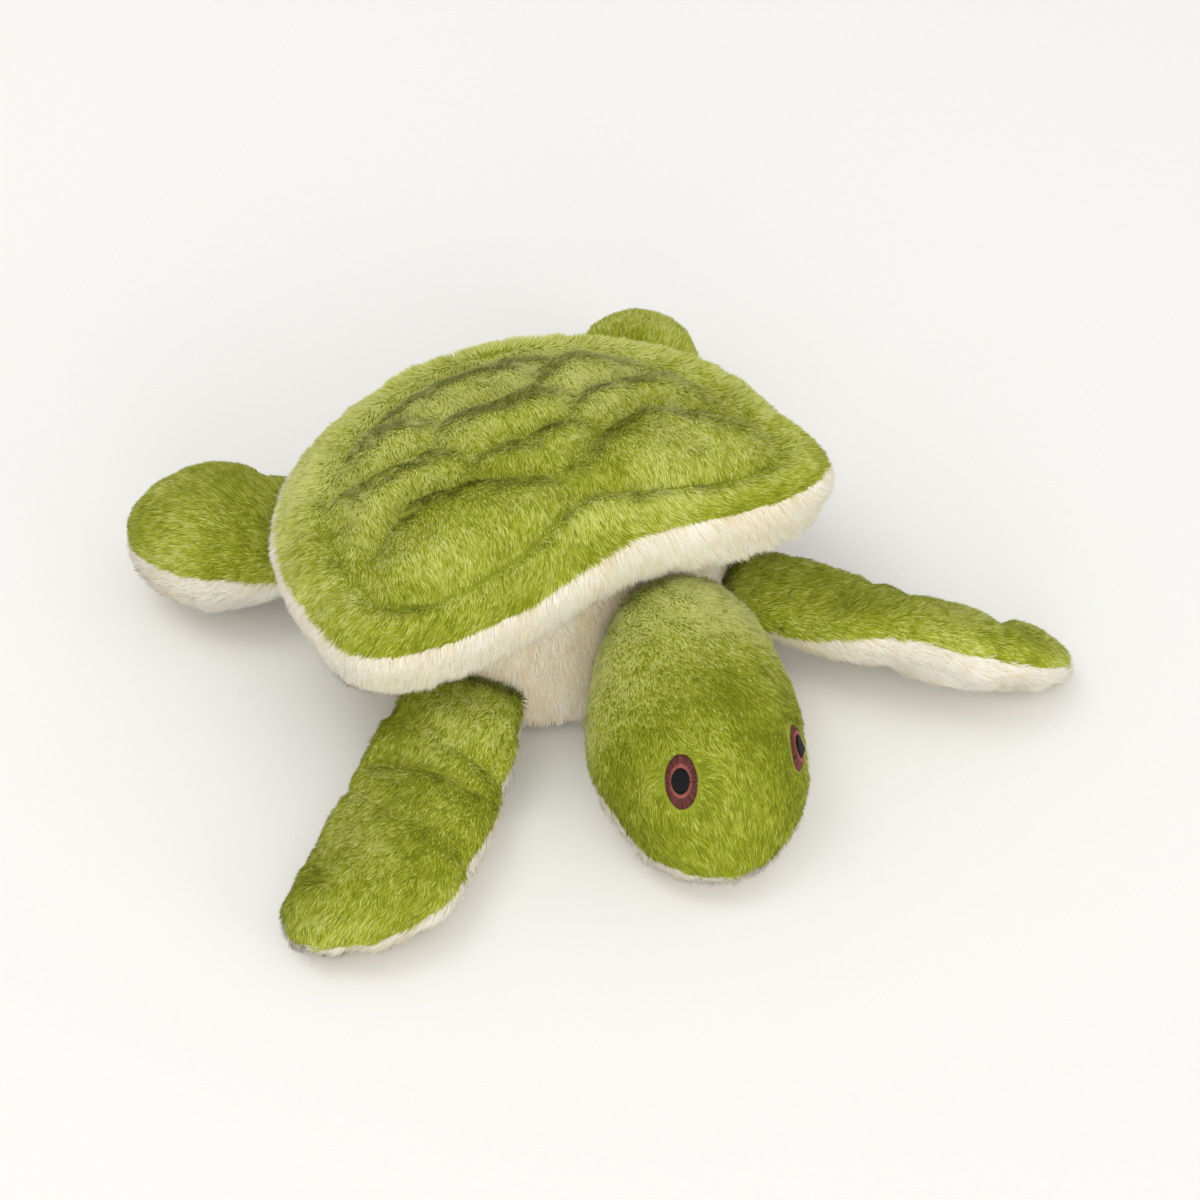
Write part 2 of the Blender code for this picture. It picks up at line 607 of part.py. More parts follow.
def build_flipper(name, side, form, seat, heading, roll, frame, parts, cutting, green, cream, wadding):
    """One limb on its hinge line, and the cutter that seats its root in the body's side."""
    out = Vector((side * math.cos(heading), math.sin(heading), 0))
    around = seat if side > 0 else math.pi - seat
    reach = float(outline_radius(
        np.array(around), BODY_HALF_WIDTH, BODY_FRONT, BODY_REAR, BODY_POWER, BODY_POWER
    ))
    root = Vector((reach * math.cos(around), BODY_MIDDLE_Y + reach * math.sin(around), ROOT_Z))
    root += out * (ROOT_RADIUS - ROOT_BITE)
    place = Matrix.Translation(root) @ Matrix.Rotation(math.atan2(out.y, out.x), 4, "Z")
    hinge = empty(name + "_hinge", parts, place, frame)
    limb, rings = flipper_form(form, -side, roll)
    inside = dict(around=FLIPPER_INNER_AROUND, rings=FLIPPER_INNER_RINGS, form=limb)
    covers = sewn_halves((
        dict(around=FLIPPER_AROUND, rings=rings, form=limb, inset=0, upper=above_seam),
        dict(inside, inset=COVER, upper=above_seam, inward=True),
    ))
    for part, bm, material in zip(("top", "under"), covers, (green, cream)):
        cut_flat(bm, -ROOT_Z)
        piece(f"{name}_flipper_{part}", bm, material, hinge, parts)
    piece(f"{name}_flipper_filling", filling(**inside), wadding, hinge, parts)
    bm = bmesh.new()
    radius = (ROOT_RADIUS + SEAM_GAP) / math.cos(math.pi / BARREL_AROUND)
    bmesh.ops.create_cone(
        bm, cap_ends=True, segments=BARREL_AROUND, radius1=radius, radius2=radius,
        depth=2 * form["root"] + CUT_OVERRUN, matrix=Matrix.Rotation(math.pi / 2, 4, "X"),
    )
    return piece(name + "_seat", bm, None, hinge, cutting)


def main():
    for leftover in list(bpy.data.objects):
        bpy.data.objects.remove(leftover)
    scene = bpy.context.scene
    parts, cutting = [bpy.data.collections.new(name) for name in ("plush_turtle", "cutters")]
    for collection in (parts, cutting):
        scene.collection.children.link(collection)
    green = fabric("green plush", (0.30, 0.38, 0.035), 0.95)
    cream = fabric("cream plush", (0.86, 0.82, 0.70), 0.95)
    wadding = fabric("polyester wadding", (0.88, 0.88, 0.86), 1.0)
    thread = fabric("maroon embroidery thread", (0.20, 0.045, 0.040), 0.6)
    pupil_thread = fabric("black embroidery thread", (0.012, 0.011, 0.014), 0.55)

    turtle = empty("turtle", parts, Matrix.Identity(4))
    seats = [build_shell(turtle, parts, cutting, green, cream, wadding)]
    neck_place = Matrix.Translation((NECK_X, NECK_Y, NECK_Z)) @ Matrix.Rotation(-math.pi / 2, 4, "Z")
    neck = empty("neck_turn", parts, neck_place, turtle)
    head = empty("head_nod", parts, Matrix.Rotation(-HEAD_YAW, 4, "Z"), neck)
    build_neck(neck, parts, cream, wadding)
    build_head(head, parts, cutting, green, cream, wadding)
    build_eyes(head, parts, cutting, thread, pupil_thread)
    seats.append(neck_cutter(neck, cutting, "neck_in_body"))
    for limb in FLIPPERS:
        seats.append(build_flipper(*limb, turtle, parts, cutting, green, cream, wadding))
    build_body(turtle, parts, cream, wadding, seats)

    bpy.context.view_layer.update()
    corners = np.array([
        made.matrix_world @ point.co
        for made in parts.objects if made.type == "MESH" for point in made.data.vertices
    ])
    low, high = corners.min(axis=0), corners.max(axis=0)
    turtle.location = (-(low[0] + high[0]) / 2, -(low[1] + high[1]) / 2, 0)


main()
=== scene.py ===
import json
import math

import bpy
import numpy as np
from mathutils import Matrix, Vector


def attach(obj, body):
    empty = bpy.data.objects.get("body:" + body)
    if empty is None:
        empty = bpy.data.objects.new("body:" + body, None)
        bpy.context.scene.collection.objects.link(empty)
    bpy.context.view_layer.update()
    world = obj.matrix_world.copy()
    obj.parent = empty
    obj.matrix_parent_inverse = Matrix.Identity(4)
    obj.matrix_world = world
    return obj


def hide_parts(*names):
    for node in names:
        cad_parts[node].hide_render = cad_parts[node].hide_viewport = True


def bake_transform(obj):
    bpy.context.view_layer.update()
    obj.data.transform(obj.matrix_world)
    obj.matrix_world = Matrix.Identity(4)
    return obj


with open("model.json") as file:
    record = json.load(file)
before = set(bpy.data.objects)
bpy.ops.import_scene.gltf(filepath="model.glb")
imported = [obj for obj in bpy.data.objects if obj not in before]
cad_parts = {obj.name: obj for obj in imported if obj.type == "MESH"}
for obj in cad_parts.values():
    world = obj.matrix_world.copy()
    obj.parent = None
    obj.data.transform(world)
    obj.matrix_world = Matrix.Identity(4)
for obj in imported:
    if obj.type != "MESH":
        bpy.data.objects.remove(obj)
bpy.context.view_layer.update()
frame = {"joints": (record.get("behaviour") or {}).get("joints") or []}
joints = {joint["name"]: joint for joint in frame["joints"]}


# numbers

def smoothStep(t):
    t = np.clip(t, 0, 1)
    return t * t * (3 - 2 * t)  # 0 to 1 with flat ends


def bell(off, width):
    return np.exp(-((off / width) ** 2))  # 1 in the middle, next to nothing past twice the width


def signedPower(values, power):
    return np.sign(values) * np.abs(values) ** power  # squares off the sine and cosine of a circle


def turned(side, up, angle):
    return side * np.cos(angle) - up * np.sin(angle), side * np.sin(angle) + up * np.cos(angle)


def columns(*values):
    return np.stack(np.broadcast_arrays(*values), axis=1)  # numbers side by side, one row for each point


def unit(vectors):
    return vectors / np.maximum(np.linalg.norm(vectors, axis=-1, keepdims=True), 1e-12)


# large odd factors scatter the corners of a lattice over the whole range of an integer
scatter = {"axes": (73856093, 19349663, 83492791), "seed": 9176213, "mask": 0x7FFFFFFF,
           "stirs": ((13, 1274126177), (15, 668265263)), "drop": 7, "levels": 65536}


def softNoise(points, size, seed):
    # random numbers at the corners of a lattice of that size, blended between them by a smooth step: 0 to 1
    cell = points / size
    low = np.floor(cell).astype(np.int64)
    part = smoothStep(cell - low)
    total = np.zeros(len(points))
    for corner in range(8):
        step = np.array([(corner >> axis) & 1 for axis in range(3)])
        mixed = ((low + step) * np.array(scatter["axes"])).sum(axis=1) + seed * scatter["seed"]
        for shift, factor in scatter["stirs"]:
            mixed = (mixed ^ (mixed >> shift)) * factor & scatter["mask"]
        level = (mixed >> scatter["drop"]) % scatter["levels"]
        total += level / (scatter["levels"] - 1) * np.prod(np.where(step, part, 1 - part), axis=1)
    return total


def curveThrough(stations, values, at):
    # cubic pieces between the stations, with slopes from the neighbours
    stations, values = np.asarray(stations, float), np.asarray(values, float)
    slopes = np.gradient(values, stations)
    k = np.clip(np.searchsorted(stations, at) - 1, 0, len(stations) - 2)
    step = stations[k + 1] - stations[k]
    t = np.clip((at - stations[k]) / step, 0, 1)
    return (
        values[k] * (1 + 2 * t) * (1 - t) ** 2 + slopes[k] * step * t * (1 - t) ** 2
        + values[k + 1] * t * t * (3 - 2 * t) + slopes[k + 1] * step * t * t * (t - 1)
    )


def superRadius(angle, sizes):
    # distance from the middle to an outline |x/a|^p + |y/b|^p = 1, with its own b and p before and behind
    side, along = np.cos(angle), np.sin(angle)
    depth, power = [np.where(along < 0, *sizes[key]) for key in ("depths", "powers")]
    return (np.abs(side / sizes["halfWidth"]) ** power + np.abs(along / depth) ** power) ** (-1 / power)


def jointFrame(name):
    # rows are the limb's forward, left and up directions at rest; its left is the joint's axis
    left = unit(np.array(joints[name]["axis"], float))
    up = np.array([0.0, 0.0, 1.0])
    return np.array(joints[name]["pos_m"], float), np.array([np.cross(left, up), left, up])


# meshes

def placed(name, data):
    made = bpy.data.objects.new(name, data)
    bpy.context.scene.collection.objects.link(made)
    return made


def meshPiece(name, points, faces):
    mesh = bpy.data.meshes.new(name)
    mesh.from_pydata(points.tolist(), [], faces)
    mesh.validate()
    mesh.shade_smooth()
    return placed(name, mesh)


def writeMap(mesh, u, v):
    # the map that pile and thread read: across it the tone, upwards the place along the fibre, for each point
    used = np.empty(len(mesh.loops), np.int32)
    mesh.loops.foreach_get("vertex_index", used)
    spots = columns(u.ravel(), v.ravel())[used]
    mesh.uv_layers.new(name="OFBake").data.foreach_set("uv", spots.ravel())


def threesOf(items, field, kind=float):
    # a row of three numbers for each item
    values = np.empty(len(items) * 3, kind)
    items.foreach_get(field, values)
    return values.reshape(-1, 3)


def pointsOf(mesh):
    return threesOf(mesh.vertices, "co")


def trianglesOf(mesh):
    mesh.calc_loop_triangles()
    return threesOf(mesh.loop_triangles, "vertices", np.int32)


def movePoints(mesh, points):
    mesh.vertices.foreach_set("co", points.ravel())
    mesh.update()


def ballFaces(around, rings):
    # rows of quads between two poles: point 0 is the first pole and the last point the other
    ring = np.arange(around)
    after = (ring + 1) % around
    quad = columns(ring, around + ring, around + after, after)
    quads = [1 + row * around + quad for row in range(rings - 1)]
    last = 1 + rings * around
    ends = [columns(0, 1 + ring, 1 + after), columns(last, last - around + after, last - around + ring)]
    return ends[0].tolist() + np.concatenate(quads).tolist() + ends[1].tolist()


def ballForm(name, form, around, rings):
    # a closed surface form(share from pole to pole, angle round it), turned so that its faces point outwards
    share, angle = np.linspace(0, 1, rings + 2)[1:-1], np.arange(around) / around * 2 * math.pi
    share, angle = [grid.ravel() for grid in np.meshgrid(share, angle, indexing="ij")]
    points = columns(*form(np.hstack((0, share, 1)), np.hstack((0, angle, 0))))
    faces = ballFaces(around, rings)
    fan = np.array([face[:3] for face in faces] + [[face[0], *face[2:]] for face in faces if len(face) > 3])
    corners = points[fan] - points.mean(axis=0)
    if np.einsum("ij,ij->i", corners[:, 0], np.cross(corners[:, 1], corners[:, 2])).sum() < 0:
        faces = [face[::-1] for face in faces]
    return meshPiece(name, points, faces)


def modified(piece):
    # the mesh with its modifiers applied takes the place of the old one
    graph = bpy.context.evaluated_depsgraph_get()
    mesh = bpy.data.meshes.new_from_object(piece.evaluated_get(graph), depsgraph=graph)
    old, name = piece.data, piece.data.name
    piece.modifiers.clear()
    piece.data = mesh
    bpy.data.meshes.remove(old)
    mesh.name = name
    return piece


def coverForm(name, form, sizes):
    # the form's surface, cut anew into even squares for the cloth
    piece = ballForm(name, form, *sizes["grid"])
    remesh = piece.modifiers.new("even squares", "REMESH")
    remesh.mode = "VOXEL"
    remesh.voxel_size = sizes["voxel"]
    remesh.use_smooth_shade = True
    print(name, "form", len(modified(piece).data.vertices), "points")
    return piece


# materials

def srgb(code):
    # an sRGB hex colour as linear numbers
    parts = [int(code[at:at + 2], 16) / 255 for at in (1, 3, 5)]
    return (*(c / 12.92 if c <= 0.04045 else ((c + 0.055) / 1.055) ** 2.4 for c in parts), 1.0)


def addNode(tree, kind, settings=None, values=None, links=None, stops=()):
    # one node with its settings, socket values, links into its sockets and, on a ramp, rising colour stops
    node = tree.nodes.new("ShaderNode" + kind)
    for key, value in (settings or {}).items():
        setattr(node, key, value)
    for key, value in (values or {}).items():
        node.inputs[key].default_value = value
    for key, source in (links or {}).items():
        tree.links.new(source, node.inputs[key])
    for number, (place, code) in enumerate(stops):
        band = node.color_ramp.elements
        stop = band[number] if number < len(band) else band.new(place)
        stop.position, stop.color = place, srgb(code)
    return node


def newMaterial(name, values):
    # a principled surface with these values
    material = bpy.data.materials.new(name)
    material.use_nodes = True
    tree = material.node_tree
    tree.nodes.clear()
    shader = addNode(tree, "BsdfPrincipled", values=values)
    addNode(tree, "OutputMaterial", links={"Surface": shader.outputs["BSDF"]})
    return material, tree, shader


def pileMaterial(name, tipStops, rootStops, sheen):
    # knitted polyester pile, cut and brushed: its roots are painted darker as painted shade, and its tips lighter as
    # painted light
    material, tree, shader = newMaterial(name, {
        "Roughness": 0.75, "Specular IOR Level": 0.25, "Sheen Weight": sheen, "Sheen Roughness": 0.5})
    strand = addNode(tree, "UVMap", {"uv_map": "OFBake"})
    parts = addNode(tree, "SeparateXYZ", links={"Vector": strand.outputs["UV"]})
    roots, tips = [
        addNode(tree, "ValToRGB", links={"Fac": parts.outputs["X"]}, stops=stops).outputs["Color"]
        for stops in (rootStops, tipStops)
    ]
    # sockets 6 and 7 are the two colours, mixed by the height on the strand
    mixed = addNode(tree, "Mix", {"data_type": "RGBA"}, links={"Factor": parts.outputs["Y"], 6: roots, 7: tips})
    tree.links.new(mixed.outputs[2], shader.inputs["Base Color"])
    return material


# loops 1.2 mm apart and 0.4 mm deep, and a slow change of the dye every 30 mm
backing = {"loopScale": 1 / 0.0012, "loopDepth": 0.0004, "patchScale": 1 / 0.03}


def backingMaterial(name, dark, light):
    # warp knitted backing cloth under the pile: dull small loops, which only show where pile parts
    material, tree, shader = newMaterial(name, {"Roughness": 0.95})
    where = addNode(tree, "TexCoord").outputs["Object"]
    loops = addNode(tree, "TexVoronoi", values={"Scale": backing["loopScale"]}, links={"Vector": where})
    patch = addNode(tree, "TexNoise", values={"Scale": backing["patchScale"], "Detail": 3.0}, links={"Vector": where})
    colour = addNode(tree, "ValToRGB", links={"Fac": patch.outputs["Fac"]}, stops=((0.3, dark), (0.7, light)))
    tree.links.new(colour.outputs["Color"], shader.inputs["Base Color"])
    relief = addNode(tree, "Bump", values={"Strength": 0.5, "Distance": backing["loopDepth"]},
                     links={"Height": loops.outputs["Distance"]})
    tree.links.new(relief.outputs["Normal"], shader.inputs["Normal"])
    return material


# the twist of a 0.4 mm thread
thread = {"twistScale": 1 / 0.0004, "twistDepth": 0.0001}


def threadMaterial(name, dark, light):
    # satin stitched viscose: a twisted thread with a soft shine along it
    material, tree, shader = newMaterial(name, {"Roughness": 0.5, "Specular IOR Level": 0.25})
    along = addNode(tree, "UVMap", {"uv_map": "OFBake"})
    parts = addNode(tree, "SeparateXYZ", links={"Vector": along.outputs["UV"]})
    colour = addNode(tree, "ValToRGB", links={"Fac": parts.outputs["X"]}, stops=((0.0, dark), (1.0, light)))
    tree.links.new(colour.outputs["Color"], shader.inputs["Base Color"])
    where = addNode(tree, "TexCoord").outputs["Object"]
    twist = addNode(tree, "TexNoise", values={"Scale": thread["twistScale"], "Detail": 2.0}, links={"Vector": where})
    relief = addNode(tree, "Bump", values={"Strength": 0.35, "Distance": thread["twistDepth"]},
                     links={"Height": twist.outputs["Fac"]})
    tree.links.new(relief.outputs["Normal"], shader.inputs["Normal"])
    return material


# the stops follow a strand's tone from dark to light; the tone varies at random and also carries painted shade and
# painted light, and the roots' stops are darker than the tips' as painted shade
greenPile = pileMaterial(
    "green plush pile",
    ((0.0, "#868F0C"), (0.35, "#AEB522"), (0.7, "#CED250"), (1.0, "#EEF09A")),
    ((0.0, "#687404"), (0.5, "#87910E"), (1.0, "#B4BC40")), 0.05)
creamPile = pileMaterial(
    "cream plush pile",
    ((0.0, "#F3E4C2"), (0.5, "#FAF5E6"), (1.0, "#FEFCF4")),
    ((0.0, "#E8D4A8"), (0.5, "#F4EAD1"), (1.0, "#FAF3E0")), 0.1)
greenBacking = backingMaterial("green knitted backing", "#7C8812", "#8F9A22")
creamBacking = backingMaterial("cream knitted backing", "#D8CDB0", "#E6DDC6")
maroonThread = threadMaterial("maroon viscose thread", "#45120F", "#C07468")
blackThread = threadMaterial("black viscose thread", "#040305", "#0C0B0E")
eyeFelt = newMaterial("embroidery underlay felt", {"Base Color": srgb("#4A1B18"), "Roughness": 0.9})[0]  # dull wool
print("materials made")


# shell cushion

# sizes in metres; depths and powers are those of the outline before and behind its widest line, and the rim's
# roll and the scutes puff up between the sewing
shell = {
    "middle": (0.0007, 0.0229), "halfWidth": 0.119, "depths": (0.059, 0.103), "powers": (4.6, 2.0),
    "seamHeight": 0.0705, "arch": 0.0165, "underArch": 0.62, "notch": 0.005,
    "archMiddle": math.radians(-72), "archSpread": math.radians(46),
    "corner": 0.009, "cornerAngle": math.radians(-25), "cornerSpread": math.radians(15),
    "underHeight": 0.0468, "tuck": 0.009, "dome": 0.0315, "domePower": 2.4,
    "rimBand": 0.025, "puff": 0.0060, "rimPuff": 0.0085, "channel": 0.0100,
    "inset": 0.0020, "grid": (144, 95), "voxel": 0.004, "cap": 0.006,
    "creaseDepth": 0.0010, "creaseWidth": 0.0025,
}
# how firmly the cloth is held: on the stitches, beside the edge seam, on the hem and on the flat underside
shellHold = {"stitchWidth": 0.003, "seam": 0.7, "seamWidth": 0.004, "seamShare": 0.9, "hem": 0.35,
             "underShare": 0.82, "slack": 0.002, "creaseFrom": 0.001}

# stitch lines between the scutes, one side: across as a share of the half width, along as a share of
# the length from the widest line to the front (negative) or rear edge
scuteLines = (
    ((0.0, -0.60), (0.0, -0.19)),
    ((0.0, -0.19), (0.30, 0.03)),
    ((0.30, 0.03), (0.49, 0.095), (0.71, -0.09)),
    ((0.30, 0.03), (0.20, 0.165), (0.0, 0.147)),
    ((0.20, 0.165), (0.30, 0.30)),
    ((0.30, 0.30), (0.51, 0.335), (0.74, 0.36)),
    ((0.30, 0.30), (0.20, 0.45), (0.0, 0.43)),
    ((0.20, 0.45), (0.27, 0.58), (0.46, 0.66)),
)


def bump(angle, middle, spread):
    off = (angle - middle + math.pi) % (2 * math.pi) - math.pi
    return bell(off, spread)  # 1 at the middle angle, falling to 0 away from it


def frontArch(angle):
    return bump(angle, shell["archMiddle"], shell["archSpread"])


def shellRadius(angle):
    corner = shell["corner"] * bump(angle, shell["cornerAngle"], shell["cornerSpread"])
    return superRadius(angle, shell) + corner - shell["notch"] * frontArch(angle)


def stitchDistance(x, y):
    # distance to the nearest scute line, measured from the shell's middle
    nearest = np.full(np.shape(x), 1.0)
    for line in scuteLines:
        spots = [(a * shell["halfWidth"], b * shell["depths"][b > 0]) for a, b in line]
        for (ax, ay), (bx, by) in zip(spots[:-1], spots[1:]):
            offX, offY, runX, runY = np.abs(x) - ax, y - ay, bx - ax, by - ay
            along = np.clip((offX * runX + offY * runY) / (runX ** 2 + runY ** 2), 0, 1)
            nearest = np.minimum(nearest, np.hypot(offX - along * runX, offY - along * runY))
    return nearest


def sewnDistance(x, y, edge):
    # distance to the nearest sewing: the scute lines inside the rim, and the line that sets off the rim
    lines = np.where(edge > shell["rimBand"], stitchDistance(x, y), 1.0)
    return np.minimum(lines, np.abs(edge - shell["rimBand"]))


def shellPlace(points):
    # angle round the shell, share of the way out to its edge, distance in from the edge, nearest sewing
    x, y = points[:, 0] - shell["middle"][0], points[:, 1] - shell["middle"][1]
    angle, reach = np.arctan2(y, x), np.hypot(x, y)
    radius = shellRadius(angle)
    edge = radius - reach
    return angle, reach / radius, edge, sewnDistance(x, y, edge)


def shellSeamHeight(points):
    angle, out, _, _ = shellPlace(points)
    return shell["seamHeight"] + shell["arch"] * frontArch(angle) * np.clip(out, 0, 1) ** 2


def shellForm(share, angle):
    # top: a dome from crown (0) to edge (0.5), raised between the stitch lines; then in below to a flat bottom
    inset, seam, arch = shell["inset"], shell["seamHeight"], shell["arch"] * frontArch(angle)
    edgeRadius = shellRadius(angle)
    out = np.clip(2 * share, 0, 1)
    edge = (1 - out) * edgeRadius
    radius = out * (edgeRadius - inset)
    nearest = np.minimum(edge, sewnDistance(radius * np.cos(angle), radius * np.sin(angle), edge))
    puff = np.where(edge > shell["rimBand"], shell["puff"], shell["rimPuff"])
    top = seam + arch * out ** 2 + shell["dome"] * (1 - out ** shell["domePower"]) - inset * (1 - out ** 4)
    top = top + puff * (1 - bell(nearest, shell["channel"]))
    part = np.clip(2 * share - 1, 0, 1)
    turn = np.clip(2 * part, 0, 1) * math.pi / 2
    flat = shell["underHeight"] + shell["underArch"] * arch * smoothStep(3 - 4 * part)
    low = seam + arch - (seam + arch - flat) * np.sin(turn)
    lowRadius = (edgeRadius - inset - shell["tuck"] * (1 - np.cos(turn))) * np.clip(2 - 2 * part, 0, 1)
    radius = np.where(share <= 0.5, radius, lowRadius)
    return (shell["middle"][0] + radius * np.cos(angle), shell["middle"][1] + radius * np.sin(angle),
            np.where(share <= 0.5, top, low))


shellCushion = coverForm("shellCushion", shellForm, shell)
points = pointsOf(shellCushion.data)
_, out, _, nearest = shellPlace(points)
seam = shellSeamHeight(points)
onTop = points[:, 2] > seam - shellHold["slack"]
shellPins = np.where(onTop, bell(nearest, shellHold["stitchWidth"]), shellHold["hem"])
shellPins = np.where(~onTop & (out < shellHold["underShare"]), 1.0, shellPins)
onEdge = bell(points[:, 2] - seam, shellHold["seamWidth"])
shellPins = np.maximum(shellPins, shellHold["seam"] * onEdge * (out > shellHold["seamShare"]))


# body

body = {
    "middle": (0.0067, 0.0299), "halfWidth": 0.077, "depths": (0.067, 0.086), "powers": (2.7, 2.7),
    "middleHeight": 0.024, "crown": 0.038, "rounding": 0.5, "slant": 0.57, "slantHeight": 0.029,
    "under": 0.0445, "archEnd": 0.01, "archRun": 0.03, "bottom": 0.0035, "inset": 0.0025,
    "grid": (96, 60), "voxel": 0.004, "cap": 0.004, "heldBelow": 0.006, "heldAbove": 0.040,
    "barePart": 0.0045, "lidGap": 0.0025, "droop": 0.12, "tone": -0.3, "density": 1.4,
}


def bodyLid(x, y):
    # height of the shell's flat underside over the body, arched up over the neck
    angle = np.arctan2(y - shell["middle"][1], x - shell["middle"][0])
    near = smoothStep((body["archEnd"] - y) / body["archRun"])
    return body["under"] + shell["underArch"] * shell["arch"] * frontArch(angle) * near


def bodyForm(share, angle):
    # a squarish puck whose chest leans forward with height, flat on top under the shell
    turn = math.pi * share
    up, out = signedPower(np.cos(turn), body["rounding"]), np.sin(turn) ** body["rounding"]
    radius = superRadius(angle, body) - body["inset"]
    z = body["middleHeight"] + np.where(up > 0, body["crown"], body["middleHeight"]) * up
    z = np.clip(z, body["bottom"], None)
    forward = smoothStep(np.clip(-np.sin(angle) * out, 0, 1))
    x = body["middle"][0] + out * radius * np.cos(angle)
    y = body["middle"][1] + out * radius * np.sin(angle) + body["slant"] * (z - body["slantHeight"]) * forward
    return x, y, np.minimum(z, bodyLid(x, y))


bodyCover = coverForm("bodyCover", bodyForm, body)
height = pointsOf(bodyCover.data)[:, 2]
bodyPins = np.where((height < body["heldBelow"]) | (height > body["heldAbove"]), 1.0, 0.0)


# neck

neck = {"radius": 0.0185, "stretch": 1.25, "hold": 0.2, "grid": (48, 28), "voxel": 0.004, "cap": 0.002,
        "pileLength": 0.006}
headPlace, headAxes = jointFrame("head_nod")


def neckForm(share, angle):
    # a ball, a little longer from body to head than it is wide
    turn = math.pi * share
    radius = neck["radius"] * np.sin(turn)
    local = columns(neck["stretch"] * neck["radius"] * np.cos(turn), radius * np.cos(angle), radius * np.sin(angle))
    return (headPlace + local @ headAxes).T


neckCover = coverForm("neckCover", neckForm, neck)
neckPins = np.full(len(neckCover.data.vertices), neck["hold"])


# head

head = {
    "length": 0.122, "skew": 0.19, "roll": math.radians(-3), "lift": -0.0003, "back": 0.003,
    "halfWidth": 0.045, "top": 0.061, "seamShare": 0.28, "power": 2.2, "neckHeight": 0.029,
    "slant": 0.57, "slantEnd": 0.5, "napeShift": 0.006, "napeEnd": 0.36, "snoutStart": 0.74,
    "stations": (0.0, 0.11, 0.36, 0.6, 0.8, 1.0),
    "widths": (0.68, 0.88, 1.07, 1.0, 0.85, 0.64),
    "tops": (0.90, 0.96, 1.0, 0.98, 0.84, 0.50),
    "chins": (0.05, 0.02, 0.0, 0.0, 0.0, 0.08),
    "inset": 0.0012, "bottom": 0.0032, "grid": (72, 56), "voxel": 0.004, "cap": 0.004,
    "seamHold": 0.003, "heldBelow": 0.006,
    "napTurn": 0.15, "napePaintedLight": 0.72, "snoutPaintedShade": -0.20, "toneStart": 0.1, "toneRun": 0.5, "density": 2.5,
}


def headSection(along, inset):
    # half width, seam height, rise above it and drop below it, of the section at that share of the length
    ending = np.sqrt(1 - np.clip((along - head["snoutStart"]) / (1 - head["snoutStart"]), 0, 1) ** 2)
    width = head["halfWidth"] * curveThrough(head["stations"], head["widths"], along)
    top = head["top"] * curveThrough(head["stations"], head["tops"], along)
    chin = head["top"] * curveThrough(head["stations"], head["chins"], along)
    seam = chin + head["seamShare"] * (top - chin)
    width, rising, dropping = [np.maximum(size * ending - inset, 0) for size in (width, top - seam, seam - chin)]
    return width, seam, rising, dropping


def napeSkew(along):
    return head["napeShift"] * (1 - smoothStep(along / head["napeEnd"]))  # the nape lies to the left of the neck


def headLean(along, rise):
    return head["slant"] * rise * (1 - smoothStep(along / head["slantEnd"]))  # sections lean back at the neck


def headForm(share, angle, inset=head["inset"]):
    # sections from neck to snout, each a squarish oval wider at the chin seam; the floor flattens the chin
    start = (head["back"] + inset) / head["length"]
    along = start + (1 - start) * (1 - np.cos(math.pi * share)) / 2
    width, seam, rising, dropping = headSection(along, inset)
    side, rise = [signedPower(wave, 2 / head["power"]) for wave in (np.cos(angle), np.sin(angle))]
    pole = (share < 1e-6) | (share > 1 - 1e-6)
    z = seam + np.where(pole, 0, np.where(rise > 0, rising, dropping) * rise)
    out = np.minimum(along * head["length"], head["length"] - inset)
    skew = head["skew"] * out - napeSkew(along)
    out = out - headLean(along, z - head["neckHeight"])
    side, up = turned(np.where(pole, 0, width * side) - skew, z - head["neckHeight"] + head["lift"], head["roll"])
    x, y, z = (headPlace + columns(out, side, up) @ headAxes).T
    return x, y, np.maximum(z, head["bottom"] if inset > 0 else 0.0)


def headLocal(points):
    # along as a share of the length, sideways, and height over the floor, with the roll taken out
    local = (points - headPlace) @ headAxes.T
    side, up = turned(local[:, 1], local[:, 2], -head["roll"])
    along = local[:, 0] / head["length"]
    for _ in range(3):  # the lean depends on the place along, so it is found in steps
        along = np.clip((local[:, 0] + headLean(along, up)) / head["length"], 0, 1)
    skew = head["skew"] * along * head["length"] - napeSkew(along)
    return along, side + skew, up + head["neckHeight"] - head["lift"]


def overSeam(points):
    # height over the seam between the head's green and cream cloth
    along, _, height = headLocal(points)
    return height - headSection(along, 0)[1]


headCover = coverForm("headCover", headForm, head)
points = pointsOf(headCover.data)
headPins = np.maximum(bell(overSeam(points), head["seamHold"]), points[:, 2] < head["heldBelow"])


# flippers

# a limb's sewn end is a roll of cloth: its radius, height and the angles and widths of its sections
root = {"radius": 0.008, "height": 0.026, "flat": math.radians(40), "angles": (40, 65, 90),
        "widths": (0.93, 0.98, 1.0)}
limb = {
    "stations": np.array((0.13, 0.28, 0.43, 0.58, 0.72, 0.84, 0.93, 0.98)), "power": 2.3, "twist": (0.06, 0.62),
    "settle": 0.36, "sink": 0.0005, "slantStart": 0.4, "bottom": 0.0035, "least": 0.0004,
    "inset": 0.0020, "rootInset": 0.001, "insetRun": 0.25, "grid": (48, 64), "voxel": 0.004, "cap": 0.004,
    "seam": 0.8, "seamHold": 0.003, "heldBelow": 0.0055, "heldShare": 0.06,
    "creaseSlant": 0.1, "creaseWidth": 0.006, "creaseDrop": 0.004, "creaseShade": 40,
    "underPile": {"density": 1.5, "length": 0.0062}, "bend": (-0.006, 0.022),
}
rearSections = {
    "slant": 0.003, "sweep": 0.0, "round": 0.50, "widths": (0.76, 0.86, 0.95, 1.0, 1.0, 1.0, 1.0, 1.0),
    "thicks": (0.48, 0.66, 0.86, 1.0, 1.0, 1.0, 1.0, 1.0), "creases": ((0.45, 0.0012),),
}
